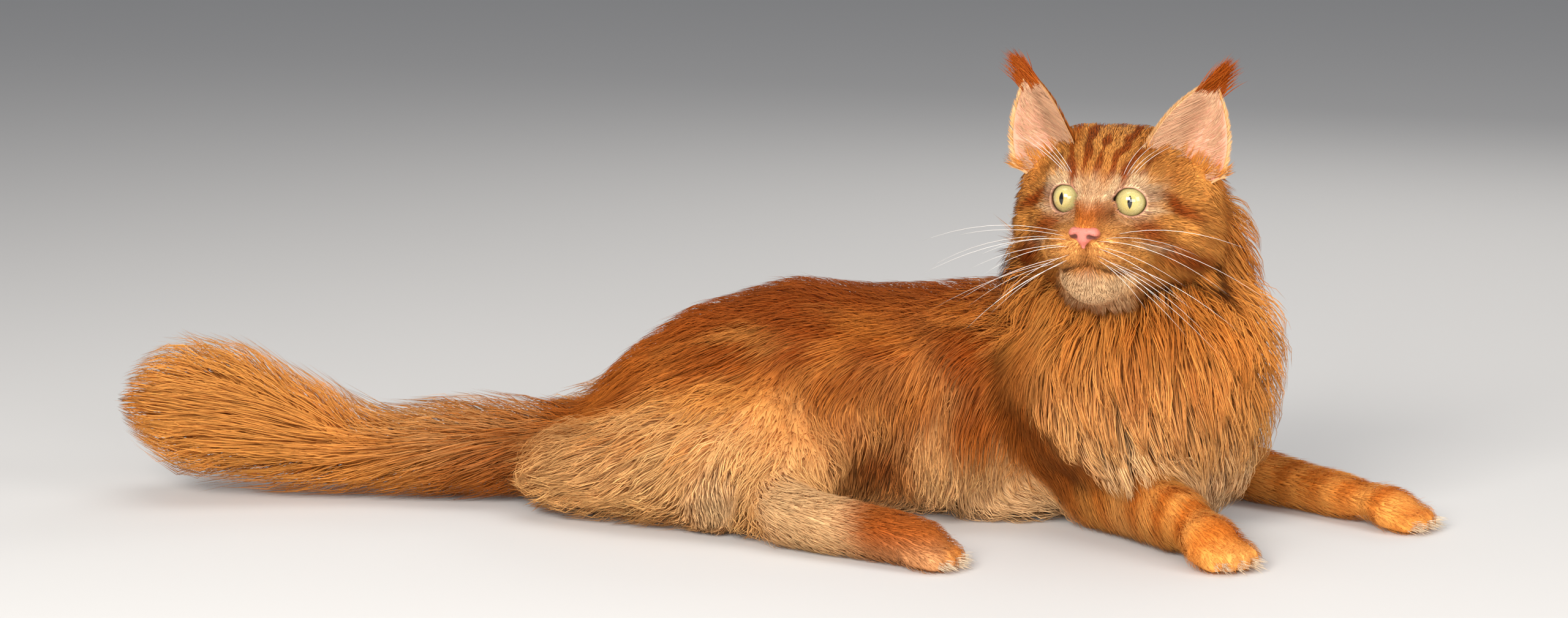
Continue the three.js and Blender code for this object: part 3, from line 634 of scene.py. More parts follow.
def body_colour(p):
    x, y, z = p[:, 0], p[:, 1], p[:, 2]
    n1, n2, n3 = noise(p, 34, 3), noise(p, 13, 5), noise(p, 70, 9)
    part = dict(zip(PARTS, member(p).T))
    c = np.tile(ORANGE, (len(p), 1))
    # the back is deep red, paling down the flanks
    top = smooth01(z + 16 * (n1 - 0.5), 84, 142)
    c = mix(c, RED, 0.95 * top)
    c = mix(c, DEEP, 0.7 * smooth01(z, 128, 158) * smooth01(n2, 0.35, 0.75))
    # pale streaks and the whorl on the flank
    whorl = np.stack([(x - 66) / 1.15, (z - 108) / 1.0], 1)
    r = np.linalg.norm(whorl, axis=1) + 10 * (n1 - 0.5)
    side = smooth01(118 - y, 0, 30)
    ring = 0.5 + 0.5 * np.cos((r - 6) / 40 * 2 * math.pi)
    c = mix(c, RED, side * bell(r, 66) * ring * 0.85)
    c = mix(c, AMBER, side * bell(r - 26, 12) * 0.55)
    streak = smooth01(noise(np.stack([x * 0.35 + z * 0.8, y * 0.5, z * 1.1 - x * 0.35], 1), 14, 21), 0.5, 0.78)
    c = mix(c, GOLD, side * streak * bell(np.hypot((x + 5) / 1.6, z - 112), 44) * 0.75)
    c = mix(c, RED, side * smooth01(noise(np.stack([x * 0.6 + z * 0.3, y * 0.5, z], 1), 15, 22), 0.48, 0.75) * 0.65)
    # fold between thigh and belly fringe: painted shade in the crease, darkened towards DEEP
    c = mix(c, DEEP, 0.75 * bell(np.hypot((x - 62) / 0.8, (z - 62) / 1.5), 26) * side)
    # belly and fringe
    fringe = part["belly"]
    c = mix(c, AMBER, fringe * 0.7)
    c = mix(c, CREAM, fringe * (0.6 + 0.4 * smooth01(96 - z, 0, 50)) * (0.75 + 0.25 * n2))
    c = mix(c, PALE, fringe * smooth01(60 - z, 0, 50) * 0.6)
    # haunch: cream wool, darker where it meets the rump
    haunch = part["haunch"]
    c = mix(c, GOLD, haunch)
    c = mix(c, ORANGE, haunch * smooth01(z + 24 * (n1 - 0.5), 84, 112) * 0.85)
    c = mix(c, CREAM, haunch * smooth01(100 - z + 30 * (n1 - 0.5), 0, 40) * 0.95)
    c = mix(c, AMBER, haunch * smooth01(n2, 0.62, 0.9) * 0.6)
    c = mix(c, ORANGE, haunch * bell(np.hypot((x - 40) / 1.2, z - 74), 20) * 0.7)
    # hind feet: cream over the hock, orange on the toes
    foot = part["hindleg"]
    c = mix(c, CREAM * 0.5 + PALE * 0.5, foot)
    c = mix(c, ORANGE, foot * smooth01(x, 24, 54) * (0.6 + 0.4 * smooth01(z, 8, 26)) * 0.95)
    c = mix(c, RED, foot * bell(np.hypot((x - 62) / 1.6, z - 22), 15) * 0.6)
    c = mix(c, AMBER, foot * smooth01(x, 96, 112) * 0.8)
    # forelegs: bars
    leg = part["foreleg"]
    along = np.where(y < 100, (x - 190) * 0.55 - (y - 80) * 0.84, (x - 284) * 0.72 - (y - 184) * 0.69)
    c = mix(c, AMBER, leg)
    bars = 0.5 + 0.5 * np.cos(along / 27 * 2 * math.pi + 5 * (n1 - 0.5))
    c = mix(c, GOLD, leg * smooth01(along, 4, 24) * (1 - bars) * (0.55 + 0.5 * n2))
    c = mix(c, ORANGE, leg * bars ** 2 * 0.75 * smooth01(along, 30, 60))
    c = mix(c, RED, leg * np.maximum(smooth01(z, 50, 84), smooth01(210 - x, 0, 24) * smooth01(80 - y, 0, 20)) * 0.8)
    c = mix(c, CREAM, leg * smooth01(along, 178, 200) * 0.8)
    c = mix(c, GOLD, leg * smooth01(24 - z, 0, 18) * 0.5)
    # tail: golden with rings near its root
    tail = part["tail"]
    c = mix(c, AMBER * 0.5 + GOLD * 0.5, tail)
    rings = 0.5 + 0.5 * np.cos((x + 236) / 30 * 2 * math.pi + 3 * (n1 - 0.5))
    c = mix(c, CREAM, tail * bell(x + 205, 78) * smooth01(z, 24, 56) * (1 - rings ** 1.5) * 0.95)
    c = mix(c, RED, tail * bell(x + 205, 60) * rings * 0.5)
    c = mix(c, GOLD, tail * smooth01(-x, 250, 330) * (0.35 + 0.5 * n2))
    c = mix(c, ORANGE, tail * smooth01(-x, 400, 450) * 0.55)
    c = mix(c, RED, tail * bell(np.hypot((x + 175) / 2.0, z - 30), 26) * 0.7)
    # rump locks run dark on to the root of the tail
    c = mix(c, RED, bell(np.hypot((x + 130) / 1.5, (z - 62) / 0.9), 30) * (haunch * 0.3 + tail * 0.6))
    # ruff and mane
    ruff = part["ruff"] + part["neck"]
    c = mix(c, GOLD, ruff)
    c = mix(c, AMBER, ruff * (0.3 + 0.6 * smooth01(n2, 0.35, 0.8)) * smooth01(z, 60, 140))
    c = mix(c, ORANGE, ruff * smooth01(noise(np.stack([x, y, z * 0.35], 1), 11, 61), 0.55, 0.8) * 0.55)
    c = mix(c, CREAM, ruff * smooth01(150 - z, 0, 70) * 0.8 * (0.6 + 0.6 * n1))
    c = mix(c, CREAM, ruff * smooth01(x, 300, 335) * 0.8)
    c = mix(c, PALE, ruff * smooth01(100 - z, 0, 50) * 0.8)
    c = mix(c, ORANGE, ruff * smooth01(190 - x, 0, 50) * smooth01(z, 60, 110) * 0.7)
    c = mix(c, ORANGE, ruff * smooth01(y, 70, 120) * 0.8)
    c = mix(c, RED, part["neck"] * smooth01(y, 90, 130) * 0.6)
    return c * (0.93 + 0.14 * n3)[:, None]


def face_colour(p):
    """p in the head's own axes."""
    x, y, z = np.abs(p[:, 0]), p[:, 1], p[:, 2]
    n1, n2 = noise(p + 300, 9, 31), noise(p + 300, 4, 33)
    c = np.tile(AMBER * 0.15 + GOLD * 0.85, (len(p), 1))
    c = mix(c, ORANGE, 0.35 * smooth01(n1, 0.45, 0.8))
    front = smooth01(y, -6, 14)
    # stripes of the forehead, fanning out over the crown
    fan = x / (1 + 0.022 * (z - 14)) + 1.2 * (n1 - 0.5) * 4
    stripe = smooth01(0.5 + 0.5 * np.cos(fan / 8.2 * 2 * math.pi + math.pi * 0.15), 0.45, 0.8)
    brow = smooth01(z, 11, 20) * smooth01(34 - x, 0, 8)
    c = mix(c, GOLD, brow * 0.75)
    c = mix(c, RED, brow * stripe * 0.95)
    # bridge of the nose
    c = mix(c, ORANGE, bell(x, 10) * smooth01(y, 30, 46) * 0.6)
    # pale round the eyes
    e = np.stack([x - EYE[0], (z - EYE[2])], 1)
    er = np.linalg.norm(e, axis=1)
    eyezone = front * bell(er - 12.5, 5)
    c = mix(c, PALE, eyezone * (0.75 + 0.2 * np.sign(e[:, 1])))
    # marks beside and under the eye, and the bands of the cheek
    def spot(cx, cz, rx, rz, tilt=0.0):
        t = math.radians(tilt)
        u_, v_ = (x - cx) * math.cos(t) + (z - cz) * math.sin(t), -(x - cx) * math.sin(t) + (z - cz) * math.cos(t)
        return np.exp(-((u_ / rx) ** 2 + (v_ / rz) ** 2) ** 1.5)

    wob = 3.0 * (n1 - 0.5)
    x = x + wob; z = z + wob
    c = mix(c, RED, spot(16.5, 19, 3.2, 8.5) * front)
    c = mix(c, ORANGE, spot(24, 38, 8, 8) * 0.7)
    c = mix(c, RED, spot(31, -14, 12, 7, -8) * front * 0.95)
    c = mix(c, PALE, spot(38, -24.5, 9, 2.6, -10) * 0.8)
    c = mix(c, PALE, spot(33, -3, 8, 2.2, -6) * front * 0.7)
    c = mix(c, RED, spot(45, -1, 15, 3.6, -38))
    c = mix(c, GOLD, spot(47, -14, 9, 4, -30) * 0.7)
    c = mix(c, RED, spot(54, -34, 23, 8.5, -32))
    c = mix(c, GOLD, spot(52, -20, 12, 3.5, -32) * 0.6)
    c = mix(c, ORANGE, spot(0, -5, 12, 8) * smooth01(y, 34, 46))
    c = mix(c, RED, spot(7.5, -3, 3.2, 6, 15) * smooth01(y, 34, 46) * 0.5)
    c = mix(c, PALE, spot(0, 9, 6.5, 9) * smooth01(y, 20, 34) * 0.75)
    x = x - wob; z = z - wob
    # muzzle and chin
    pad = bell(np.linalg.norm(np.stack([x - 12, (y - 58) / 1.3, z + 27], 1), axis=1), 15)
    c = mix(c, GOLD * 0.5 + CREAM * 0.5, pad * 0.8)
    rows = bell(np.mod(z + 21 + 0.2 * x, 4.6) - 2.3, 0.95) * bell(np.mod(x + 1.5, 4.4) - 2.2, 1.1)
    c = mix(c, RED, rows * smooth01(x, 5, 8) * smooth01(27 - x, 0, 4) * smooth01(y, 44, 54) * smooth01(z, -38, -34) * smooth01(-13 - z, 0, 4) * 0.85)
    c = mix(c, PALE, smooth01(-z, 37, 44) * smooth01(y, 16, 34) * smooth01(30 - x, 0, 14) * 0.8)
    # crown and nape darken to the colour of the back
    c = mix(c, ORANGE, smooth01(-y, 0, 30) * 0.8)
    c = mix(c, RED, smooth01(-y, 14, 40) * smooth01(z, 0, 30) * 0.5)
    # bare rims of the lids, and the mouth
    for side in (1, -1):
        hollow, depth = aperture(p, side)
        near_eye = (np.sign(p[:, 0]) == side) & (depth > 0)
        c = mix(c, PINK * 0.5, near_eye * bell(hollow - 0.5, 1.0) * 0.9)
        c = mix(c, np.array([0.16, 0.07, 0.04]), near_eye * bell(hollow + 0.2, 0.7) * 0.75)
    for side in (1, -1):
        a, f, u = eye_axes(side)
        c = mix(c, PINK * 0.8, bell(np.maximum(np.linalg.norm(p - EYE * (side, 1, 1) - (-10.2 * side * a + f * 5.6 - u * 2.6), axis=1) - 1.8, 0), 1.0))
    lips = np.minimum(capsule(np.stack([x, y, z], 1), (0, 62, -37.5), (9, 57, -38.5), 1.2, 1.0), capsule(np.stack([x, y, z], 1), (9, 57, -38.5), (20, 44, -36), 1.0, 0.8))
    c = mix(c, np.array([0.28, 0.10, 0.06]), bell(np.maximum(lips, 0), 1.3) * 0.8)
    c = mix(c, PINK, bell(np.linalg.norm(np.stack([x / 1.6, (y - 61) / 2, z + 38.6], 1), axis=1), 2.6) * 0.9)
    return c


# ------------------------------------------------------------------ mesh building
def new_mesh(name, v, f, smooth=True):
    """v in row metres, f triangles or quads."""
    me = bpy.data.meshes.new(name)
    n = f.shape[1]
    me.vertices.add(len(v)); me.vertices.foreach_set("co", np.ascontiguousarray(v, np.float32).ravel())
    me.loops.add(f.size); me.loops.foreach_set("vertex_index", np.ascontiguousarray(f, np.int32).ravel())
    me.polygons.add(len(f)); me.polygons.foreach_set("loop_start", np.arange(0, f.size, n, dtype=np.int32))
    me.update(calc_edges=True)
    if smooth:
        me.polygons.foreach_set("use_smooth", np.ones(len(f), bool))
    me.validate()
    o = bpy.data.objects.new(name, me)
    bpy.context.scene.collection.objects.link(o)
    return o


def point_colour(o, name, rgba):
    a = o.data.color_attributes.new(name, "FLOAT_COLOR", "POINT")
    if rgba.shape[1] == 3:
        rgba = np.concatenate([rgba, np.ones((len(rgba), 1))], 1)
    a.data.foreach_set("color", np.ascontiguousarray(rgba, np.float32).ravel())


# ------------------------------------------------------------------ skin
for spot, heading, half, radius in TOES:
    i0 = ((np.array([spot[0] - 36, spot[1] - 36, -9]) - LOW) / STEP).astype(int)
    i1 = i0 + 26
    gx, gy, gz = np.meshgrid(*[LOW[k] + STEP * np.arange(i0[k], i1[k]) for k in range(3)], indexing="ij")
    td = toe_field(np.stack([gx, gy, gz], -1).reshape(-1, 3), spot, heading, half, radius, 0.6).reshape(gx.shape)
    sl = tuple(slice(i0[k], i1[k]) for k in range(3))
    skin_field.v[sl] = smin(skin_field.v[sl].astype(float), td, 1.2).astype(np.float32)
pts, quads = to_mesh(skin_field)
pts[:, 2] = np.maximum(pts[:, 2], 0.4)
hp, hq = to_mesh(head_field)
parts_v = [pts, from_head(hp)]
parts_f = [np.concatenate([quads[:, [0, 1, 2]], quads[:, [0, 2, 3]]]), np.concatenate([hq[:, [0, 1, 2]], hq[:, [0, 2, 3]]]) + len(pts)]
colours = [body_colour(pts), face_colour(hp)]
count = len(pts) + len(hp)
for side in (1, -1):
    ev, ef = ear_shell(side)
    h_ = np.repeat(np.arange(27) / 26, 36); a_ = np.tile(np.cos(2 * math.pi * np.arange(36) / 36), 27); s_ = np.tile(np.sin(2 * math.pi * np.arange(36) / 36), 27)
    inner = np.concatenate([s_ > 0.15, [True, True]])
    ec = np.where(inner[:, None], mix(np.tile(np.array([0.72, 0.33, 0.22]), (len(ev), 1)), CREAM, 0.55 * np.concatenate([smooth01(-a_, -0.2, 0.9), [0.5, 0.5]])), AMBER)
    parts_v.append(from_head(ev)); parts_f.append(ef + count); colours.append(ec)
    count += len(ev)
skin_v, skin_f, skin_c = np.concatenate(parts_v), np.concatenate(parts_f), np.concatenate(colours)
# outward winding
def volume(v, f):
    a, b, c = v[f[:, 0]], v[f[:, 1]], v[f[:, 2]]
    return np.einsum("ij,ij->", a, np.cross(b, c)) / 6
fixed = []
for f in parts_f:
    fixed.append(f if volume(skin_v, f) > 0 else f[:, ::-1])
body_f, head_f = fixed[0], fixed[1]
skin_f = np.concatenate(fixed)
skin = new_mesh("skin", row(skin_v), skin_f)
point_colour(skin, "tint", skin_c)
print("skin triangles", len(skin_f), "body", len(body_f), "head", len(head_f))

# an unwrap of the skin's own shape, for the roots of the locks
bpy.context.view_layer.objects.active = skin
skin.select_set(True)
skin.data.uv_layers.new(name="OFBake")
bpy.ops.object.mode_set(mode="EDIT")
bpy.ops.mesh.select_all(action="SELECT")
bpy.ops.uv.smart_project(angle_limit=math.radians(66), island_margin=0.002)
bpy.ops.object.mode_set(mode="OBJECT")
skin.select_set(False)
me = skin.data
loop_uv = np.empty(len(me.loops) * 2); me.uv_layers["OFBake"].data.foreach_get("uv", loop_uv)
loop_vi = np.empty(len(me.loops), np.int64); me.loops.foreach_get("vertex_index", loop_vi)
skin_f = loop_vi.reshape(-1, 3)  # as stored
tri_uv = loop_uv.reshape(-1, 3, 2)
n_body, n_head = len(body_f), len(head_f)


from mathutils import kdtree
face_mid = skin_v[skin_f].mean(1)
near_face = kdtree.KDTree(len(face_mid))
for i_, q_ in enumerate(face_mid):
    near_face.insert(q_, i_)
near_face.balance()
face_uv = tri_uv.mean(axis=1)


def root_uv(p):
    """The place on the skin's unwrap that lies nearest each root."""
    return face_uv[[near_face.find(q)[1] for q in p]]


# ------------------------------------------------------------------ locks
def sample(face_ids, weight, count):
    """Roots on skin faces: place, normal, uv."""
    tri = skin_v[skin_f[face_ids]]
    cr = np.cross(tri[:, 1] - tri[:, 0], tri[:, 2] - tri[:, 0])
    area = np.linalg.norm(cr, axis=1) * 0.5
    w = area * weight
    cum = np.cumsum(w); cum /= cum[-1]
    u = (np.arange(count) + rng.random(count)) / count
    k = np.minimum(np.searchsorted(cum, u), len(w) - 1)
    r1, r2 = np.sqrt(rng.random(count)), rng.random(count)
    b = np.stack([1 - r1, r1 * (1 - r2), r1 * r2], 1)
    p = (tri[k] * b[:, :, None]).sum(1)
    uv = (tri_uv[face_ids[k]] * b[:, :, None]).sum(1)
    return p, unit(cr[k]), uv


def grow(p, field, outer, flow, length, height, cap, steps, lift, wander=0.0):
    """Paths of the locks: they leave the skin, follow the flow and stay between skin and outline."""
    path = [p]
    x = p.copy()
    n = field.slope(x)
    d0 = flow(x)
    d0 = unit(d0 - n * (d0 * n).sum(1, keepdims=True) * 0.85)
    d = unit(d0 + n * lift[:, None])
    ds = (length / steps)[:, None]
    swirl = rng.normal(size=p.shape) * np.reshape(wander, (-1, 1))
    for k in range(1, steps + 1):
        t = k / steps
        x = x + d * ds
        s = field.at(x)
        n = field.slope(x)
        want = height * (1 - (1 - t) ** 1.8)
        x = x + n * np.clip(want - s, 0, 30)[:, None]
        if outer is not None and k == 1:
            cap = np.maximum(cap, outer.at(p) + 2.5)
        if outer is not None:
            e = outer.at(x)
            ne = outer.slope(x)
            x = x - ne * np.clip(e - cap, 0, 12)[:, None] * 0.85
        x[:, 2] = np.maximum(x[:, 2], 0.5 + 0.0 * t)
        path.append(x)
        fl = flow(x)
        fl = fl - n * np.clip((fl * n).sum(1, keepdims=True), None, 0.0) * 0.9
        d = unit(0.42 * unit(x - path[-2]) + 0.58 * unit(fl) + swirl * t)
    return np.stack(path, 1)


def gather(path, size, seed, amount, power=1.6):
    """Pulls the paths of a cell together towards their tips, as hair locks do."""
    ident = cells(path[:, 0] + 0.35 * (path[:, -1] - path[:, 0]), size, seed)
    n = ident.max() + 1
    cnt = np.bincount(ident, minlength=n).astype(float)
    mean = np.stack([[np.bincount(ident, path[:, k, c], n) / cnt for c in range(3)] for k in range(path.shape[1])]).transpose(2, 0, 1)
    t = np.linspace(0, 1, path.shape[1]) ** power
    w = np.asarray(amount) * t[None, :] if np.ndim(amount) == 0 else np.asarray(amount)[:, None] * t[None, :]
    return path + (mean[ident] - path) * w[:, :, None], ident


def wave(path, ident, amp, turns, seed):
    """Sideways waves shared by a lock."""
    t = np.linspace(0, 1, path.shape[1])[None, :]
    r = np.random.default_rng(seed).random((ident.max() + 1, 4))
    ph, fr = r[ident, 0:1] * 6.283, turns * (0.7 + 0.6 * r[ident, 1:2])
    tan = unit(path[:, -1] - path[:, 0])
    ref = unit(np.cross(tan, [0.0, -1.0, 0.15]))
    other = np.cross(tan, ref)
    s = (np.sin(ph + fr * 6.283 * t) - np.sin(ph)) * amp[:, None] * t ** 0.8
    c = (np.cos(ph + fr * 6.283 * t) - np.cos(ph)) * amp[:, None] * t ** 0.8 * 0.5
    return path + ref[:, None, :] * s[:, :, None] + other[:, None, :] * c[:, :, None]


COAT = []


def locks(name, path, normal, width, tint, uv, flat=0.55, tip_tint=None, slot="coat_orange", root_dark=0.86, share=190000, vary=0.09):
    """Closed three-sided tapered locks along the paths."""
    n, k1, _ = path.shape
    k = k1 - 1
    tan = np.empty_like(path)
    tan[:, 1:-1] = path[:, 2:] - path[:, :-2]
    tan[:, 0] = path[:, 1] - path[:, 0]
    tan[:, -1] = path[:, -1] - path[:, -2]
    tan = unit(tan)
    side = unit(np.cross(tan, normal[:, None, :] + 0.001))
    over = np.cross(side, tan)
    t = np.arange(k) / k
    prof = (0.62 + 0.38 * np.sin(np.clip(t * 2.2, 0, 1) * math.pi / 2)) * (1 - t ** 2.4)
    ang = np.radians([90, 210, 330])
    spin = rng.random((n, 1)) * 0.9 - 0.45
    ca, sa = np.cos(ang[None] + spin), np.sin(ang[None] + spin)
    off = (side[:, :k, None, :] * ca[:, None, :, None] + over[:, :k, None, :] * sa[:, None, :, None] * flat)
    ring = path[:, :k, None, :] + off * (width[:, None] * prof[None, :])[:, :, None, None]
    verts = np.concatenate([ring.reshape(n, k * 3, 3), path[:, -1:, :]], 1)
    m = k * 3 + 1
    tri = [(0, 2, 1)]
    for j in range(k - 1):
        for a in range(3):
            b = (a + 1) % 3
            tri += [(j * 3 + a, j * 3 + b, (j + 1) * 3 + b), (j * 3 + a, (j + 1) * 3 + b, (j + 1) * 3 + a)]
    for a in range(3):
        tri.append(((k - 1) * 3 + a, (k - 1) * 3 + (a + 1) % 3, k * 3))
    tri = np.array(tri)
    verts[:, :, 2] = np.maximum(verts[:, :, 2], 0.25)
    tv = np.concatenate([np.repeat(t, 3), [1.0]])
    rnd = rng.random(n)
    lie = unit(over * 0.9 + normal[:, None, :] * 0.5)
    lie_v = np.concatenate([np.repeat(lie[:, :k], 3, axis=1), lie[:, -1:]], 1)
    # each lock darkens towards its root: painted shade deep in the coat
    shade = root_dark + (1 - root_dark) * smooth01(tv, 0.0, 0.55)
    tip = tint if tip_tint is None else tip_tint
    col = tint[:, None, :] + (tip - tint)[:, None, :] * smooth01(tv, 0.3, 1.0)[None, :, None]
    col = col * shade[None, :, None] * (1 + vary * (2 * rnd - 1))[:, None, None]
    uvv = uv[:, None, :] + 0.0015 * np.stack([np.concatenate([np.tile(np.cos(ang), k), [0]]), 2 * tv - 1], 1)[None]
    per = len(tri)
    most = max(1, share // per)
    for c, s in enumerate(range(0, n, most)):
        e = min(n, s + most)
        base = (np.arange(e - s) * m)[:, None, None]
        f = (tri[None] + base).reshape(-1, 3)
        o = new_mesh(f"{name}_{c + 1}", row(verts[s:e].reshape(-1, 3)), f)
        point_colour(o, "tint", col[s:e].reshape(-1, 3))
        wide_ = np.tile(np.concatenate([np.tile([0.0, 0.5, 1.0], k), [0.5]]), e - s)
        st = np.stack([wide_ * 3.0 + np.repeat(rnd[s:e], m) * 97.0, np.tile(tv, e - s), np.repeat(rnd[s:e], m)], 1)
        for nm_, val_ in (("strand", st), ("lie", lie_v[s:e].reshape(-1, 3))):
            at_ = o.data.attributes.new(nm_, "FLOAT_VECTOR", "POINT")
            at_.data.foreach_set("vector", np.ascontiguousarray(val_, np.float32).ravel())
        lay = o.data.uv_layers.new(name="OFBake")
        uvs = uvv[s:e].reshape(-1, 2)[f.reshape(-1)]
        lay.data.foreach_set("uv", np.ascontiguousarray(uvs, np.float32).ravel())
        COAT.append((o, slot))


THIN = 1.0

# ---- body
body_ids = np.arange(n_body)
cent = skin_v[skin_f[body_ids]].mean(1)
inside_head = head_field.at(to_head(cent)) < 2.0
inbox = (np.abs(to_head(cent) - np.array([0, 2, -10])) < np.array([68, 62, 60])).all(1)
_, val, lab = plan(cent)
density = np.array([1.05, 1.2, 0.8, 0.95, 2.7, 2.7, 0.85, 1.3, 1.05])[lab]
low_side = smooth01(12 - cent[:, 2], 0, 8)
density = np.where((lab == PARTS.index("tail")) & (cent[:, 2] < 60), density * 1.25, density)
density = density * (1 - 0.6 * low_side) * np.where(cent[:, 1] > 150, 0.62, 1.0)
density = np.where(lab == PARTS.index("tail"), np.maximum(density, 0.8), density)
density = density * np.where(inside_head & inbox, 0.0, 1.0)
N_BODY = int(60000 * THIN)
root, normal, uv = sample(body_ids, density, N_BODY)
_, _, lab = plan(root)
val = carpet.at(root)[:, 3:]
depth, length, width = val[:, 0], val[:, 1], val[:, 2]
u = rng.random(N_BODY)
length = length * (0.7 + 0.5 * rng.random(N_BODY))
of_part = lambda *k: np.isin(lab, [PARTS.index(j) for j in k])
height = (depth * 0.94 + np.where(of_part("tail", "ruff"), 4.5, 2.0)) * (0.2 + 0.84 * u ** 0.65)
fly = rng.random(N_BODY) < 0.035
cap = np.where(fly, 6.0, -depth * 0.24 * (1 - u) + np.where(of_part("ruff"), 7.0, np.where(of_part("tail"), 4.0, 2.5)))
height = np.where(fly, height + 5, height)
soft = of_part("haunch", "belly", "ruff", "neck")
short = of_part("foreleg", "hindleg")
lift = np.clip(height / np.maximum(length, 1), 0.05, 0.8) * 1.3
paths = grow(root, both, outer_all, lambda q: carpet.at(q)[:, :3], length, height, cap, 4, lift, wander=np.where(of_part("haunch", "belly"), 0.2 + 0.22 * smooth01(root[:, 0], -70, -20), 0.08))
big = np.where(of_part("ruff", "neck"), 0.42, np.where(soft, 0.36, np.where(of_part("tail"), 0.34, 0.2))) * np.where(short, 0.3, 1.0)
paths, ident0 = gather(paths, 24, 11, big * np.where(of_part("ruff", "neck"), 0.8, 0.5))
paths, ident = gather(paths, 9, 23, big)
amp = np.where(of_part("ruff", "neck"), 2.0, np.where(soft, 3.2, 0.8)) * np.where(short, 0.1, 1.0) * length / 45
paths = wave(paths, ident, amp, 0.8, 5)
paths[:, :, 2] = np.maximum(paths[:, :, 2], 0.5)
tint = body_colour(root)
lockvar = np.random.default_rng(3).random(ident.max() + 1)[ident]
bigvar = np.random.default_rng(4).random(ident0.max() + 1)[ident0]
tint = tint * (0.86 + 0.16 * lockvar + 0.12 * bigvar)[:, None]
tip = mix(tint, GOLD, np.full(N_BODY, 0.14))
width = width * np.where(soft | of_part("tail"), 0.38, 0.44) * (0.7 + 0.6 * rng.random(N_BODY)) * np.where(fly, 0.5, 1.0)
SLOTS = {"back": "coat_red", "flank": "coat_orange", "belly": "coat_cream", "haunch": "coat_cream", "hindleg": "coat_cream", "foreleg": "coat_orange", "tail": "coat_gold", "ruff": "coat_gold", "neck": "coat_gold"}
for k, name in enumerate(PARTS):
    m = lab == k
    if not m.any():
        continue
    if name in ("foreleg", "hindleg"):
        pth = paths[m][:, [0, 2, 4]] if name == "hindleg" else paths[m][:, [0, 1, 4]]
    elif name in ("back", "flank", "haunch", "belly", "tail"):
        pth = paths[m][:, [0, 1, 2, 4]]
    else:
        pth = paths[m]
    locks("coat_" + name, pth, normal[m], width[m], tint[m], uv[m], tip_tint=tip[m], slot=SLOTS[name])

# ---- head
head_ids = n_body + np.arange(n_head)
cent = to_head(skin_v[skin_f[head_ids]].mean(1))
hid = skin_field.at(from_head(cent)) < 3.0
keep = np.ones(n_head)
for side in (1, -1):
    hollow, dep = aperture(cent, side)
    eye_d = np.linalg.norm(cent - EYE * (side, 1, 1), axis=1)
    keep *= np.where((eye_d < EYE_R + 6) & (hollow < 1.0) & (dep > 0), 0, 1)
nose_d = np.linalg.norm((cent - (0, 66, -17.5)) / (9.0, 7, 5.6), axis=1)
keep *= np.where(nose_d < 1.0, 0, 1)
mouth_d = capsule(np.stack([np.abs(cent[:, 0]), cent[:, 1], cent[:, 2]], 1), (0, 62, -37.8), (8, 58, -38.5), 1.4, 1.0)
keep *= np.where(mouth_d < 0.8, 0, 1)
front = smooth01(cent[:, 1], -10, 20)
N_HEAD = int(32000 * THIN)
root_w, normal_w, uv_h = sample(head_ids, keep * np.where(hid, 0, 1) * (0.55 + 1.5 * front), N_HEAD)
rh = to_head(root_w)

# lie of the face: place | direction | length
FACE = np.array([
    (0, 66, -8, 0, -0.5, 0.85, 3.0), (0, 52, 3, 0, -0.55, 0.83, 3.6), (0, 40, 13, 0, -0.5, 0.87, 5), (0, 30, 26, 0, -0.6, 0.8, 7), (0, 8, 42, 0, -0.95, 0.2, 9), (0, -25, 40, 0, -0.9, -0.4, 13),
    (10, 44, 2, 0.5, -0.6, 0.6, 3.6), (12, 36, 16, 0.35, -0.4, 0.85, 5), (24, 28, 20, 0.45, -0.45, 0.77, 6), (24, 6, 38, 0.4, -0.8, 0.45, 9),
    (20, 42, -9, 0.85, -0.5, -0.1, 4.5), (32, 30, -6, 0.9, -0.5, -0.1, 7), (36, 26, 8, 0.85, -0.5, 0.2, 7), (44, 10, 14, 0.6, -0.7, 0.3, 10),
    (40, 24, -18, 0.85, -0.45, -0.3, 9), (50, 6, -10, 0.8, -0.5, -0.35, 13), (54, -8, -24, 0.75, -0.45, -0.5, 18), (44, 14, -34, 0.65, -0.3, -0.7, 17), (56, -20, 0, 0.7, -0.6, -0.4, 18),
    (8, 68, -26, 0.6, -0.2, -0.75, 3.0), (14, 66, -32, 0.8, -0.25, -0.5, 4.2), (22, 58, -26, 0.95, -0.3, -0.15, 5.5), (26, 52, -34, 0.9, -0.4, -0.25, 8), (12, 60, -20, 0.85, -0.45, 0.1, 3.6),
    (0, 58, -48, 0, -0.05, -0.98, 9), (11, 55, -50, 0.25, -0.15, -0.9, 10), (0, 44, -60, 0, -0.3, -0.95, 15), (20, 36, -54, 0.4, -0.25, -0.86, 16), (30, 24, -46, 0.55, -0.25, -0.78, 19),
    (40, -30, 20, 0.3, -0.75, -0.6, 26), (0, -50, 10, 0, -0.5, -0.86, 34), (24, -46, 0, 0.2, -0.5, -0.85, 36), (36, -36, -20, 0.4, -0.5, -0.77, 38)], float)


def face_plan(q):
    m = np.stack([np.abs(q[:, 0]), q[:, 1], q[:, 2]], 1)
    d2 = ((m[:, None] - FACE[None, :, :3]) ** 2).sum(2)
    w = 1 / (d2 + 12) ** 2
    w /= w.sum(1, keepdims=True)
    d = w @ FACE[:, 3:6]
    d[:, 0] *= np.sign(q[:, 0]) * np.clip(np.abs(q[:, 0]) / 2, 0, 1)
    return unit(d), w @ FACE[:, 6]


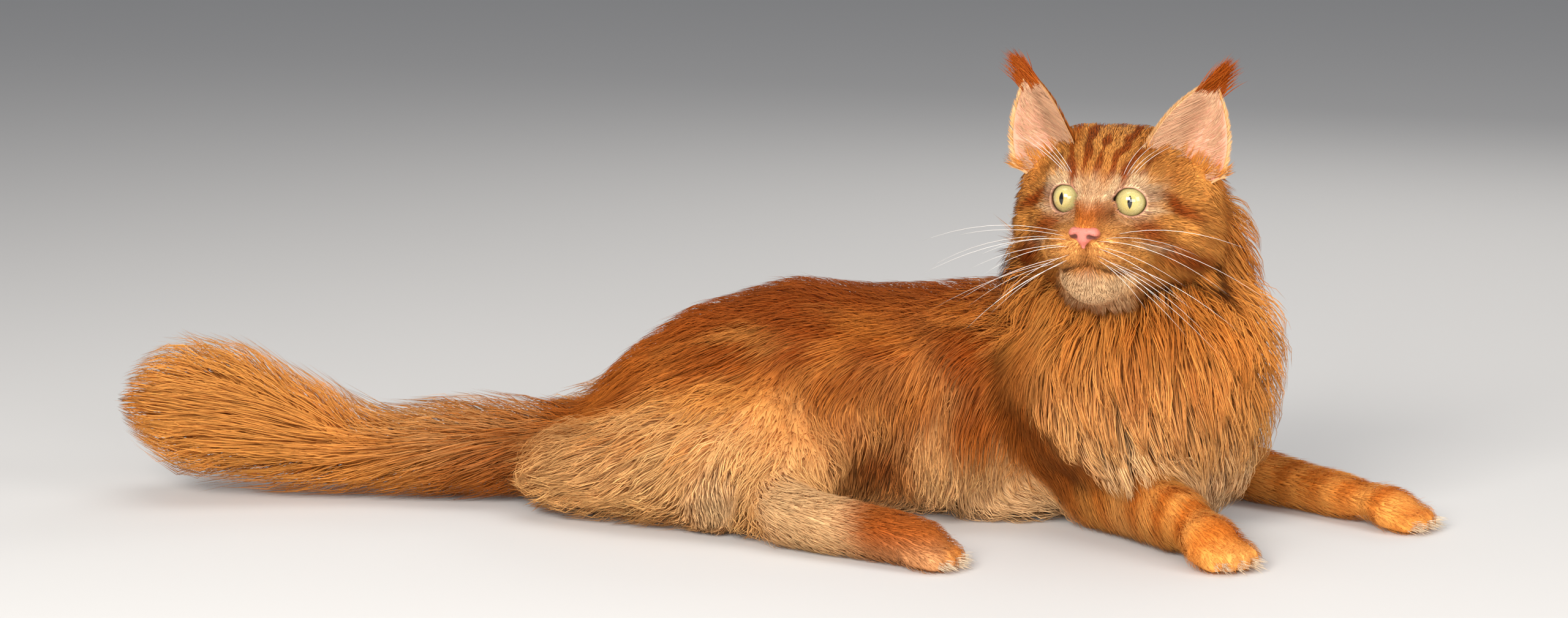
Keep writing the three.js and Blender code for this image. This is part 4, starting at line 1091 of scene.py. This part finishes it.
_, flen = face_plan(rh)
room = np.clip(-outer_all.at(root_w), 0, 42)
behind = smooth01(room, 7, 16)
flen = np.maximum(flen, room * 1.5) * (0.72 + 0.5 * rng.random(N_HEAD))
hu = rng.random(N_HEAD)
fheight = np.clip(np.where(room > 7, room * (0.3 + 0.75 * hu), flen * (0.2 + 0.22 * hu)), 0.6, 36)
fl = np.clip(fheight / flen, 0, 0.8)


def head_flow(q):
    face = face_plan(to_head(q))[0] @ HB
    body_ = carpet.at(q)[:, :3]
    w = (smooth01(both.at(q), 4, 20) * smooth01(-to_head(q)[:, 1], -22, 8))[:, None]
    return unit(face * (1 - w) + body_ * w)


fpath = grow(root_w, both, outer_all, head_flow, flen, fheight, np.where(room > 7, 1.0, 3.0), 4, fl, wander=0.05)
long_face = flen > 11
fpath, fid = gather(fpath, 7.0, 41, np.where(long_face, 0.42, 0.2))
fcol = face_colour(rh)
mane = np.clip(member(root_w)[:, PARTS.index("neck")] + member(root_w)[:, PARTS.index("ruff")], 0, 1) * behind
fcol = fcol + (body_colour(root_w) - fcol) * (mane * smooth01(-rh[:, 1], -6, 14))[:, None]
fvar = np.random.default_rng(8).random(fid.max() + 1)[fid]
fcol = fcol * (0.92 + 0.16 * fvar)[:, None]
fwide = np.clip(0.24 + 0.015 * flen, 0.26, 0.7)
for nm, m in (("coat_face", ~long_face), ("coat_cheek", long_face)):
    pth = fpath[m]
    pth = pth[:, [0, 2, 4]] if nm == "coat_face" else pth[:, [0, 1, 2, 4]]
    locks(nm, pth, normal_w[m], fwide[m], fcol[m], uv_h[m], slot="coat_face", root_dark=0.82, tip_tint=mix(fcol[m], GOLD, np.full(m.sum(), 0.10)), vary=0.07)


# ---- pale tufts between and before the toes
tp, td_, tl = [], [], []
tr = np.random.default_rng(55)
for spot, heading, half, radius in TOES:
    a = math.radians(heading)
    f = np.array([math.cos(a), math.sin(a), 0]); r = np.array([-f[1], f[0], 0])
    for k in (-1.0, 0.0, 1.0, -1.5, 1.5):
        for _ in range(int(46 * THIN) if abs(k) < 1.2 else int(20 * THIN)):
            tp.append(np.array([spot[0], spot[1], 0]) + f * (2 - k * k * radius * 0.2 + tr.normal() * 1.2) + r * (k * half * 0.46 + tr.normal() * 1.0) + (0, 0, radius * (0.35 + 0.55 * tr.random())))
            td_.append(unit(f * 1.0 + r * (0.25 * k + tr.normal() * 0.16) + np.array([0, 0, 0.12 + tr.normal() * 0.12])))
            tl.append(9 + 8 * tr.random())
tp, td_, tl = np.array(tp), np.array(td_), np.array(tl)
tc_ = np.tile(np.array([0, 0, -0.6]), (len(tp), 1)) + tr.normal(size=(len(tp), 3)) * 0.12


def free_locks(name, p, direction, curl, length, width, tint, steps=3, slot="coat_face", bow=0.25, normal=None, **k):
    t = np.linspace(0, 1, steps + 1)[None, :, None]
    path = p[:, None, :] + unit(direction)[:, None, :] * length[:, None, None] * t + curl[:, None, :] * (length * bow)[:, None, None] * t ** 2
    locks(name, path, unit(normal), width, tint, root_uv(p), slot=slot, **k)


free_locks("coat_toes", tp, td_, tc_, tl, np.full(len(tp), 0.32), np.tile(np.array([0.95, 0.78, 0.56]), (len(tp), 1)), normal=np.tile(np.array([0.2, -0.5, 0.85]), (len(tp), 1)), slot="coat_pale", steps=3, root_dark=0.9)

# ---- ears
ear_first = n_body + n_head
for side, tag in ((1, "right"), (-1, "left")):
    # back and rims: short hair towards the tip
    n = int(2600 * THIN)
    h = rng.random(n) ** 0.8 * 0.98
    a = rng.random(n) * 2 - 1
    pt = ear_point(side, h, a, np.full(n, -1.2))
    nr = -ear_normal(side, h, a)
    up = unit(ear_point(side, h + 0.02, a) - ear_point(side, h - 0.02, a))
    ln = 5 + 5 * rng.random(n) * (1 - h)
    free_locks("coat_ear_back_" + tag, from_head(pt), (up * 0.9 + nr * 0.28) @ HB, nr @ HB * -0.4, ln, np.full(n, 0.45), mix(np.tile(AMBER, (n, 1)), ORANGE, rng.random(n)), normal=nr @ HB, slot="coat_face", steps=2)
    # rims, both edges, and longer hair at the low outer edge
    n = int(900 * THIN)
    edge = np.where(rng.random(n) < 0.5, -1.0, 1.0)
    h = rng.random(n)
    pt = ear_point(side, h, edge * 0.985, np.zeros(n))
    out = unit(ear_point(side, h, edge * 1.05) - ear_point(side, h, edge * 0.9))
    up = unit(ear_point(side, h + 0.02, edge * 0.98) - ear_point(side, h - 0.02, edge * 0.98))
    ln = 4 + 7 * rng.random(n) * (1.1 - h)
    free_locks("coat_ear_rim_" + tag, from_head(pt), (up * 0.85 + out * 0.5) @ HB, ear_normal(side, h, edge * 0.9) @ HB * 0.3, ln, np.full(n, 0.34), mix(np.tile(GOLD, (n, 1)), PALE, rng.random(n)), normal=ear_normal(side, h, edge * 0.9) @ HB, slot="coat_face", steps=2)
    # short pale down over the inside, and long hair that sweeps out from the inner edge
    for kind, n, lo, hi, wide_ in (("down", int(2600 * THIN), 6, 11, 0.34), ("inner", int(800 * THIN), 16, 30, 0.30)):
        h = 0.05 + 0.85 * rng.random(n) if kind == "down" else 0.12 + 0.6 * rng.random(n) ** 1.2
        a = -0.97 + 1.75 * rng.random(n) ** 1.25 if kind == "down" else -0.97 + 0.5 * rng.random(n) ** 1.6
        pt = ear_point(side, h, a, np.full(n, 0.6))
        nr = ear_normal(side, h, a)
        acr = unit(ear_point(side, h, a + 0.05) - ear_point(side, h, a - 0.05))
        up = unit(ear_point(side, h + 0.02, a) - ear_point(side, h - 0.02, a))
        d = acr * (0.9 - 0.5 * h)[:, None] + nr * (0.22 if kind == "down" else 0.42) + up * (0.35 + 0.75 * h)[:, None] + rng.normal(size=(n, 3)) * 0.05
        ln = (lo + (hi - lo) * rng.random(n)) * (1.15 - 0.6 * h)
        free_locks("coat_ear_" + kind + "_" + tag, from_head(pt), d @ HB, (up * 0.4 - nr * 0.35) @ HB, ln, np.full(n, wide_), mix(np.tile(EAR_PINK, (n, 1)), PALE, rng.random(n) * 0.5), normal=nr @ HB, slot="coat_pale", steps=2 if kind == "down" else 4, bow=0.3, root_dark=0.95)
    # the tuft at the tip
    n = int(420 * THIN)
    h = 0.86 + 0.14 * rng.random(n)
    a = (rng.random(n) * 2 - 1) * 0.9
    pt = ear_point(side, h, a, rng.normal(size=n) * 0.6)
    d = np.array([side * 0.5, 0.0, 0.76]) + rng.normal(size=(n, 3)) * 0.10
    ln = 12 + 13 * rng.random(n)
    cv = np.tile(np.array([side * 0.5, -0.1, -0.25]), (n, 1)) + rng.normal(size=(n, 3)) * 0.15
    nr = unit(np.tile(np.array([-side * 0.3, 0.8, 0.5]), (n, 1)))
    free_locks("coat_ear_tuft_" + tag, from_head(pt), d @ HB, cv @ HB, ln, np.full(n, 0.38), mix(np.tile(RED * 1.2, (n, 1)), ORANGE, rng.random(n) * 0.7), normal=nr @ HB, slot="coat_red", steps=4, bow=0.3, root_dark=0.9)
    # furnishing round the foot of the ear
    n = int(2200 * THIN)
    h = 0.02 + 0.28 * rng.random(n)
    a = rng.random(n) * 2.0 - 1.0
    front_side = np.where(rng.random(n) < 0.12, 1.0, -1.0)
    pt = ear_point(side, h, a, front_side * 1.0)
    nr = ear_normal(side, h, a) * front_side[:, None]
    up = unit(ear_point(side, h + 0.02, a) - ear_point(side, h - 0.02, a))
    out = np.tile(np.array([side * 0.12, 0, 0]), (n, 1)) * smooth01(a, 0.2, 1.0)[:, None]
    ln = 7 + 8 * rng.random(n)
    free_locks("coat_ear_foot_" + tag, from_head(pt), (up * 0.9 + nr * 0.22 + out) @ HB, (-nr * 0.15 + up * 0.1) @ HB, ln, np.full(n, 0.42), mix(np.tile(AMBER, (n, 1)), GOLD, rng.random(n)), normal=nr @ HB, slot="coat_face", steps=3)

# ------------------------------------------------------------------ whiskers
wp, wd, wl, wc = [], [], [], []
wr = np.random.default_rng(77)
for side in (1, -1):
    for r_, (zz, cnt) in enumerate(((-21, 3), (-25, 4), (-29, 4), (-32.5, 3))):
        for c_ in range(cnt):
            x = 8.5 + 3.6 * c_ + wr.normal() * 0.4
            p = np.array([side * x, 66.5 - 0.045 * x * x, zz - 0.3 * c_])
            wp.append(p)
            wd.append(unit(np.array([side * (0.86 + 0.1 * c_ / cnt), 0.42 - 0.12 * c_, 0.14 - 0.17 * r_ + wr.normal() * 0.05])))
            wl.append((62 + 34 * c_ / cnt + 22 * wr.random()) * (1 - 0.08 * r_))
            wc.append(np.array([0, -0.35, -0.75]) + wr.normal(size=3) * 0.08)
    for c_ in range(4):
        wp.append(np.array([side * (17 + 2.0 * c_), 40.0 - c_, 19 + 0.4 * c_]))
        wd.append(unit(np.array([side * (0.35 + 0.12 * c_), 0.35, 0.85])))
        wl.append(26 + 16 * wr.random())
        wc.append(np.array([side * 0.5, -0.5, -0.35]))
wp, wd, wl, wc = map(np.array, (wp, wd, wl, wc))
d = head_field.at(wp)
wp = wp - head_field.slope(wp) * (d + 0.6)[:, None]
free_locks("whiskers", from_head(wp), wd @ HB, wc @ HB, wl, np.full(len(wp), 0.17), np.tile(np.array([0.92, 0.88, 0.82]), (len(wp), 1)), normal=np.tile(H_F, (len(wp), 1)), steps=8, slot="coat_pale", bow=0.38, flat=1.0, root_dark=1.0)


# ------------------------------------------------------------------ eyes and nose
def eyeball(side):
    """A globe with a slight cornea; rings run out from the line of sight."""
    a, f, u = eye_axes(side)
    rings, seg = 56, 72
    vs, cs = [], []
    for j in range(rings + 1):
        th = math.pi * (j / rings) ** 1.25
        phi = 2 * math.pi * np.arange(seg) / seg
        rr = EYE_R - 0.1 + 0.75 * math.exp(-(th / 0.62) ** 4)
        x, z, y = rr * math.sin(th) * np.cos(phi), rr * math.sin(th) * np.sin(phi), np.full(seg, rr * math.cos(th))
        vs.append(a * x[:, None] + f * y[:, None] + u * z[:, None])
        cs.append(np.stack([x / 10 * 0.5 + 0.5, z / 10 * 0.5 + 0.5, y / 12 * 0.5 + 0.5], 1))
    v = np.concatenate(vs) + EYE * (side, 1, 1)
    fs = []
    for j in range(rings):
        for i in range(seg):
            k, l = j * seg + i, j * seg + (i + 1) % seg
            fs.append((k, k + seg, l + seg)); fs.append((k, l + seg, l))
    return v, np.array(fs), np.concatenate(cs)


eyes = []
for side, tag in ((1, "right"), (-1, "left")):
    v, f, c = eyeball(side)
    f = f if volume(v, f) > 0 else f[:, ::-1]
    o = new_mesh("eyeball_" + tag, row(from_head(v)), f)
    point_colour(o, "eye_place", c)
    eyes.append((o, "eye_" + tag))


def nose_field(p):
    m = np.stack([np.abs(p[:, 0]), p[:, 1], p[:, 2]], 1)
    d = ellipsoid(p, (0, 65.5, -14.5), (8.2, 5.5, 3.4))
    d = smin(d, ellipsoid(m, (6.6, 64.4, -16.0), (3.9, 4.6, 3.6)), 2.5)
    d = smin(d, ellipsoid(p, (0, 66.3, -18.2), (4.8, 4.4, 4.6)), 2.5)
    d = smin(d, capsule(p, (0, 67, -20), (0, 66, -24.5), 2.4, 1.3), 1.8)
    d = -smin(-d, capsule(m, (4.6, 70.5, -17.6), (7.8, 68.0, -18.4), 1.25, 0.9), 0.8)
    d = -smin(-d, capsule(m, (7.8, 69.0, -18.4), (10.5, 65.5, -17.6), 0.8, 0.5), 0.6)
    d = -smin(-d, capsule(p, (0, 71.2, -19.0), (0, 69.4, -26), 0.35, 0.5), 0.5)
    return d


N_LOW, N_STEP, N_SHAPE = np.array([-14.0, 56.0, -28.0]), 0.4, (71, 42, 52)
nx, ny, nz = np.meshgrid(*[N_LOW[k] + N_STEP * np.arange(N_SHAPE[k]) for k in range(3)], indexing="ij")
nf = Field(N_LOW, N_STEP, nose_field(np.stack([nx, ny, nz], -1).reshape(-1, 3)).reshape(N_SHAPE))
nv, nq = to_mesh(nf)
nt = np.concatenate([nq[:, [0, 1, 2]], nq[:, [0, 2, 3]]])
nt = nt if volume(nv, nt) > 0 else nt[:, ::-1]
nose = new_mesh("nose_leather", row(from_head(nv)), nt)
nm = np.stack([np.abs(nv[:, 0]), nv[:, 1], nv[:, 2]], 1)
# the nostril openings are painted near-black: painted shade inside the recesses
nostril_shade = np.minimum(capsule(nm, (4.6, 69.6, -17.6), (7.8, 67.4, -18.4), 1.0, 0.8), capsule(nm, (7.8, 68.6, -18.4), (10.5, 65.5, -17.6), 0.7, 0.4))
nc = mix(np.tile(np.array([0.66, 0.19, 0.14]), (len(nv), 1)), np.array([0.12, 0.03, 0.02]), bell(np.maximum(nostril_shade, 0), 0.9))
freckle = smooth01(noise(nv + 90, 1.5, 51), 0.78, 0.88)
nc = mix(nc, np.array([0.35, 0.12, 0.07]), freckle * 0.7)
edge_ = smooth01(np.abs(nv[:, 0]), 7.5, 11) + smooth01(nv[:, 2], -13, -10.5)
nc = mix(nc, np.array([0.45, 0.12, 0.06]), edge_ * 0.6)
point_colour(nose, "tint", nc)


# ------------------------------------------------------------------ materials
def material(name):
    m = bpy.data.materials.new(name)
    m.use_nodes = True
    nt_ = m.node_tree
    nt_.nodes.clear()
    out = nt_.nodes.new("ShaderNodeOutputMaterial")
    b = nt_.nodes.new("ShaderNodeBsdfPrincipled")
    nt_.links.new(b.outputs[0], out.inputs[0])
    return m, nt_, b


def node(nt_, kind, **k):
    n = nt_.nodes.new(kind)
    for a, v_ in k.items():
        setattr(n, a, v_)
    return n


def coat_material(name, rough=0.55, sheen=0.02, vary=0.2, hair=True):
    m, t_, b = material(name)
    out = [n for n in t_.nodes if n.type == "OUTPUT_MATERIAL"][0]
    at = node(t_, "ShaderNodeAttribute", attribute_name="tint")
    no = node(t_, "ShaderNodeTexNoise")
    no.inputs["Detail"].default_value = 3.0
    if hair:
        st = node(t_, "ShaderNodeAttribute", attribute_name="strand")
        sc_n = node(t_, "ShaderNodeVectorMath", operation="MULTIPLY"); sc_n.inputs[1].default_value = (1.6, 0.9, 7.0)
        t_.links.new(st.outputs["Vector"], sc_n.inputs[0]); t_.links.new(sc_n.outputs[0], no.inputs["Vector"])
        no.inputs["Scale"].default_value = 1.0
    else:
        co = node(t_, "ShaderNodeTexCoord")
        t_.links.new(co.outputs["Object"], no.inputs["Vector"])
        no.inputs["Scale"].default_value = 260.0
    mr = node(t_, "ShaderNodeMapRange")
    mr.inputs["From Min"].default_value = 0.25; mr.inputs["From Max"].default_value = 0.75
    mr.inputs["To Min"].default_value = 1.0 - vary; mr.inputs["To Max"].default_value = 1.0 + vary
    t_.links.new(no.outputs["Fac"], mr.inputs["Value"])
    mx = node(t_, "ShaderNodeVectorMath", operation="SCALE")
    t_.links.new(at.outputs["Color"], mx.inputs[0]); t_.links.new(mr.outputs[0], mx.inputs["Scale"])
    t_.links.new(mx.outputs[0], b.inputs["Base Color"])
    if hair:
        ge = node(t_, "ShaderNodeNewGeometry")
        li = node(t_, "ShaderNodeAttribute", attribute_name="lie")
        g1 = node(t_, "ShaderNodeVectorMath", operation="SCALE"); g1.inputs["Scale"].default_value = 0.3
        dt = node(t_, "ShaderNodeVectorMath", operation="DOT_PRODUCT")
        t_.links.new(ge.outputs["Normal"], dt.inputs[0]); t_.links.new(li.outputs["Vector"], dt.inputs[1])
        wr_ = node(t_, "ShaderNodeMapRange")
        wr_.inputs["From Min"].default_value = -0.2; wr_.inputs["From Max"].default_value = 0.25
        t_.links.new(dt.outputs["Value"], wr_.inputs["Value"])
        l1 = node(t_, "ShaderNodeVectorMath", operation="SCALE")
        t_.links.new(li.outputs["Vector"], l1.inputs[0]); t_.links.new(wr_.outputs[0], l1.inputs["Scale"])
        g2 = node(t_, "ShaderNodeVectorMath", operation="ADD")
        g3 = node(t_, "ShaderNodeVectorMath", operation="NORMALIZE")
        t_.links.new(ge.outputs["Normal"], g1.inputs[0])
        t_.links.new(g1.outputs[0], g2.inputs[0]); t_.links.new(l1.outputs[0], g2.inputs[1])
        t_.links.new(g2.outputs[0], g3.inputs[0]); t_.links.new(g3.outputs[0], b.inputs["Normal"])
        tr = node(t_, "ShaderNodeBsdfTranslucent")
        t_.links.new(mx.outputs[0], tr.inputs["Color"])
        ms = node(t_, "ShaderNodeMixShader"); ms.inputs[0].default_value = 0.3
        t_.links.new(b.outputs[0], ms.inputs[1]); t_.links.new(tr.outputs[0], ms.inputs[2])
        t_.links.new(ms.outputs[0], out.inputs[0])
    else:
        bump = node(t_, "ShaderNodeBump")
        bump.inputs["Strength"].default_value = 0.3; bump.inputs["Distance"].default_value = 0.0006
        t_.links.new(no.outputs["Fac"], bump.inputs["Height"]); t_.links.new(bump.outputs[0], b.inputs["Normal"])
    b.inputs["Roughness"].default_value = rough
    b.inputs["Specular IOR Level"].default_value = 0.1
    b.inputs["Sheen Weight"].default_value = sheen
    b.inputs["Sheen Roughness"].default_value = 0.5
    b.inputs["Sheen Tint"].default_value = (1.0, 0.72, 0.42, 1.0)
    return m


COATS = {s: coat_material("hair_" + s) for s in ("coat_red", "coat_orange", "coat_gold", "coat_cream", "coat_face", "coat_pale")}
skin_mat = coat_material("skin_markings", rough=0.62, sheen=0.0, vary=0.12, hair=False)
skin.data.materials.append(skin_mat)

m, t_, b = material("whisker_hair")
no = node(t_, "ShaderNodeTexNoise"); no.inputs["Scale"].default_value = 60.0
rp = node(t_, "ShaderNodeValToRGB")
rp.color_ramp.elements[0].color = (0.86, 0.80, 0.72, 1); rp.color_ramp.elements[1].color = (0.96, 0.94, 0.9, 1)
t_.links.new(no.outputs["Fac"], rp.inputs[0]); t_.links.new(rp.outputs[0], b.inputs["Base Color"])
b.inputs["Roughness"].default_value = 0.3
whisker_mat = m

m, t_, b = material("nose_skin")
at = node(t_, "ShaderNodeAttribute", attribute_name="tint")
no = node(t_, "ShaderNodeTexVoronoi"); no.inputs["Scale"].default_value = 1500.0
bump = node(t_, "ShaderNodeBump"); bump.inputs["Strength"].default_value = 0.35; bump.inputs["Distance"].default_value = 0.0003
t_.links.new(no.outputs["Distance"], bump.inputs["Height"]); t_.links.new(bump.outputs[0], b.inputs["Normal"])
t_.links.new(at.outputs["Color"], b.inputs["Base Color"])
b.inputs["Roughness"].default_value = 0.42
b.inputs["Subsurface Weight"].default_value = 0.15
b.inputs["Subsurface Scale"].default_value = 0.002
nose.data.materials.append(m)

# the eye: slit pupil, fibres of the iris, dark ring, thin wet coat
m, t_, b = material("eye_wet")
at = node(t_, "ShaderNodeAttribute", attribute_name="eye_place")
sub = node(t_, "ShaderNodeVectorMath", operation="SUBTRACT"); sub.inputs[1].default_value = (0.5, 0.5, 0.5)
t_.links.new(at.outputs["Color"], sub.inputs[0])
mul = node(t_, "ShaderNodeVectorMath", operation="MULTIPLY"); mul.inputs[1].default_value = (20.0, 20.0, 24.0)  # millimetres
t_.links.new(sub.outputs[0], mul.inputs[0])
sep = node(t_, "ShaderNodeSeparateXYZ"); t_.links.new(mul.outputs[0], sep.inputs[0])


def math_(op, a_, b_=None, c_=None):
    n = node(t_, "ShaderNodeMath", operation=op)
    for i_, v_ in enumerate((a_, b_, c_)):
        if v_ is None:
            continue
        if isinstance(v_, (int, float)):
            n.inputs[i_].default_value = v_
        else:
            t_.links.new(v_, n.inputs[i_])
    return n.outputs[0]


X, Z = sep.outputs[0], sep.outputs[1]
radius = math_("SQRT", math_("ADD", math_("MULTIPLY", X, X), math_("MULTIPLY", Z, Z)))
angle = math_("ARCTAN2", Z, X)
# slit: |x| < 1.5 * (1 - (z/4.6)^2)
zz = math_("DIVIDE", Z, 4.5)
half = math_("MULTIPLY", math_("SUBTRACT", 1.0, math_("MULTIPLY", zz, zz)), 1.55)
slit = math_("SUBTRACT", half, math_("ABSOLUTE", X))
pupil = node(t_, "ShaderNodeMapRange"); pupil.inputs["From Min"].default_value = -0.12; pupil.inputs["From Max"].default_value = 0.12
t_.links.new(slit, pupil.inputs["Value"])
comb = node(t_, "ShaderNodeCombineXYZ")
t_.links.new(math_("MULTIPLY", angle, 3.0), comb.inputs[0]); t_.links.new(math_("MULTIPLY", radius, 0.35), comb.inputs[1])
fib = node(t_, "ShaderNodeTexNoise"); fib.inputs["Scale"].default_value = 5.0; fib.inputs["Detail"].default_value = 5.0
t_.links.new(comb.outputs[0], fib.inputs["Vector"])
ramp = node(t_, "ShaderNodeValToRGB")
cr = ramp.color_ramp
cr.elements[0].position = 0.0; cr.elements[0].color = (0.52, 0.34, 0.08, 1)
cr.elements[1].position = 1.0; cr.elements[1].color = (0.03, 0.02, 0.01, 1)
for pos, col in ((0.28, (0.53, 0.40, 0.13, 1)), (0.5, (0.52, 0.43, 0.16, 1)), (0.72, (0.46, 0.40, 0.17, 1)), (0.86, (0.36, 0.31, 0.11, 1)), (0.93, (0.10, 0.08, 0.03, 1))):
    e_ = cr.elements.new(pos); e_.color = col
t_.links.new(math_("DIVIDE", radius, 10.8), ramp.inputs[0])
fm = node(t_, "ShaderNodeMapRange"); fm.inputs["From Min"].default_value = 0.3; fm.inputs["From Max"].default_value = 0.7
fm.inputs["To Min"].default_value = 0.72; fm.inputs["To Max"].default_value = 1.3
t_.links.new(fib.outputs["Fac"], fm.inputs["Value"])
sc = node(t_, "ShaderNodeVectorMath", operation="SCALE"); t_.links.new(ramp.outputs[0], sc.inputs[0]); t_.links.new(fm.outputs[0], sc.inputs["Scale"])
mixn = node(t_, "ShaderNodeMix", data_type="RGBA")
t_.links.new(pupil.outputs[0], mixn.inputs["Factor"])
t_.links.new(sc.outputs[0], mixn.inputs["A"]); mixn.inputs["B"].default_value = (0.004, 0.004, 0.004, 1)
t_.links.new(mixn.outputs["Result"], b.inputs["Base Color"])
b.inputs["Roughness"].default_value = 0.12
b.inputs["Coat Weight"].default_value = 1.0
b.inputs["Coat Roughness"].default_value = 0.02
b.inputs["Coat IOR"].default_value = 1.4
for o, _n in eyes:
    o.data.materials.append(m)

# ------------------------------------------------------------------ pieces on the frame
FLESH = [n for n in NODES if not n.startswith("eye_") and n != "nose"]
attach(skin, "root")
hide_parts(*FLESH)
for o, n in eyes:
    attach(o, "root"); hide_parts(n)
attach(nose, "root"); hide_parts("nose")
tris = len(skin_f)
for o, s in COAT:
    o.data.materials.append(whisker_mat if o.name.startswith("whisker") else COATS[s])
    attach(o, "root")
    tris += len(o.data.polygons)
print("pieces", len(COAT), "triangles", tris)

# ------------------------------------------------------------------ floor, light, camera
fv, ff = [], []
FLOOR_N = 32
for j in range(FLOOR_N + 1):
    for i in range(FLOOR_N + 1):
        fx_, fy_ = -16 + 32 * i / FLOOR_N, -16 + 32 * j / FLOOR_N
        fv.append((fx_, fy_, -0.002 * max(0.0, math.hypot(fx_, fy_) - 3.0) ** 1.2))
for j in range(FLOOR_N):
    for i in range(FLOOR_N):
        k_ = j * (FLOOR_N + 1) + i
        ff.append((k_, k_ + 1, k_ + FLOOR_N + 2, k_ + FLOOR_N + 1))
floor = new_mesh("studio_floor", np.array(fv, float), np.array(ff))
m, t_, b = material("studio_paper")
no = node(t_, "ShaderNodeTexNoise"); no.inputs["Scale"].default_value = 3.0
rp = node(t_, "ShaderNodeValToRGB")
rp.color_ramp.elements[0].color = (0.60, 0.59, 0.575, 1); rp.color_ramp.elements[1].color = (0.64, 0.63, 0.615, 1)
t_.links.new(no.outputs["Fac"], rp.inputs[0]); t_.links.new(rp.outputs[0], b.inputs["Base Color"])
b.inputs["Roughness"].default_value = 0.9
floor.data.materials.append(m)


def area(name, at_, to, size, power, colour=(1, 1, 1)):
    li = bpy.data.lights.new(name, "AREA")
    li.shape = "RECTANGLE"; li.size, li.size_y = size
    li.energy = power; li.color = colour
    o = bpy.data.objects.new(name, li)
    bpy.context.scene.collection.objects.link(o)
    from mathutils import Vector
    o.location = at_
    o.rotation_euler = (Vector(to) - Vector(at_)).to_track_quat("-Z", "Y").to_euler()
    return o


area("key_soft", (-1.0, -2.2, 1.35), (0.1, 0, 0.12), (1.4, 1.0), 88, (1.0, 0.965, 0.92))
area("front_soft", (0.5, -2.7, 0.75), (0.1, 0, 0.1), (2.0, 0.9), 42, (1.0, 0.97, 0.94))
area("fill_soft", (1.9, -1.3, 1.0), (0.1, 0, 0.15), (1.2, 1.2), 22, (1.0, 0.97, 0.94))
area("top_soft", (0.0, 0.2, 2.2), (0.05, 0.05, 0.1), (2.0, 1.2), 16, (1.0, 0.98, 0.96))
area("rim_soft", (0.9, 1.7, 1.2), (0.1, 0, 0.2), (1.2, 0.6), 7, (1.0, 0.97, 0.93))
w = bpy.data.worlds.new("studio") if not bpy.context.scene.world else bpy.context.scene.world
bpy.context.scene.world = w
w.use_nodes = True
bg = w.node_tree.nodes.get("Background") or w.node_tree.nodes.new("ShaderNodeBackground")
bg.inputs[0].default_value = (0.9, 0.93, 1.0, 1); bg.inputs[1].default_value = 0.28
if not w.node_tree.nodes.get("World Output"):
    wo = w.node_tree.nodes.new("ShaderNodeOutputWorld"); w.node_tree.links.new(bg.outputs[0], wo.inputs[0])

cam = bpy.data.cameras.new("photo_camera")
cam.sensor_width = 36.0
cam.sensor_fit = "HORIZONTAL"
cam.lens = 6250.0 * 36.0 / 2560.0
ELEV = math.radians(9.5)
co = bpy.data.objects.new("photo_camera", cam)
bpy.context.scene.collection.objects.link(co)
co.location = row(np.array([0.0, -2500 * math.cos(ELEV), 160 + 2500 * math.sin(ELEV)]))
co.rotation_euler = (math.pi / 2 - ELEV, 0, 0)
bpy.context.scene.camera = co
sc_ = bpy.context.scene
sc_.view_settings.view_transform = "Standard"
sc_.view_settings.look = "None"
sc_.view_settings.exposure = 0.0
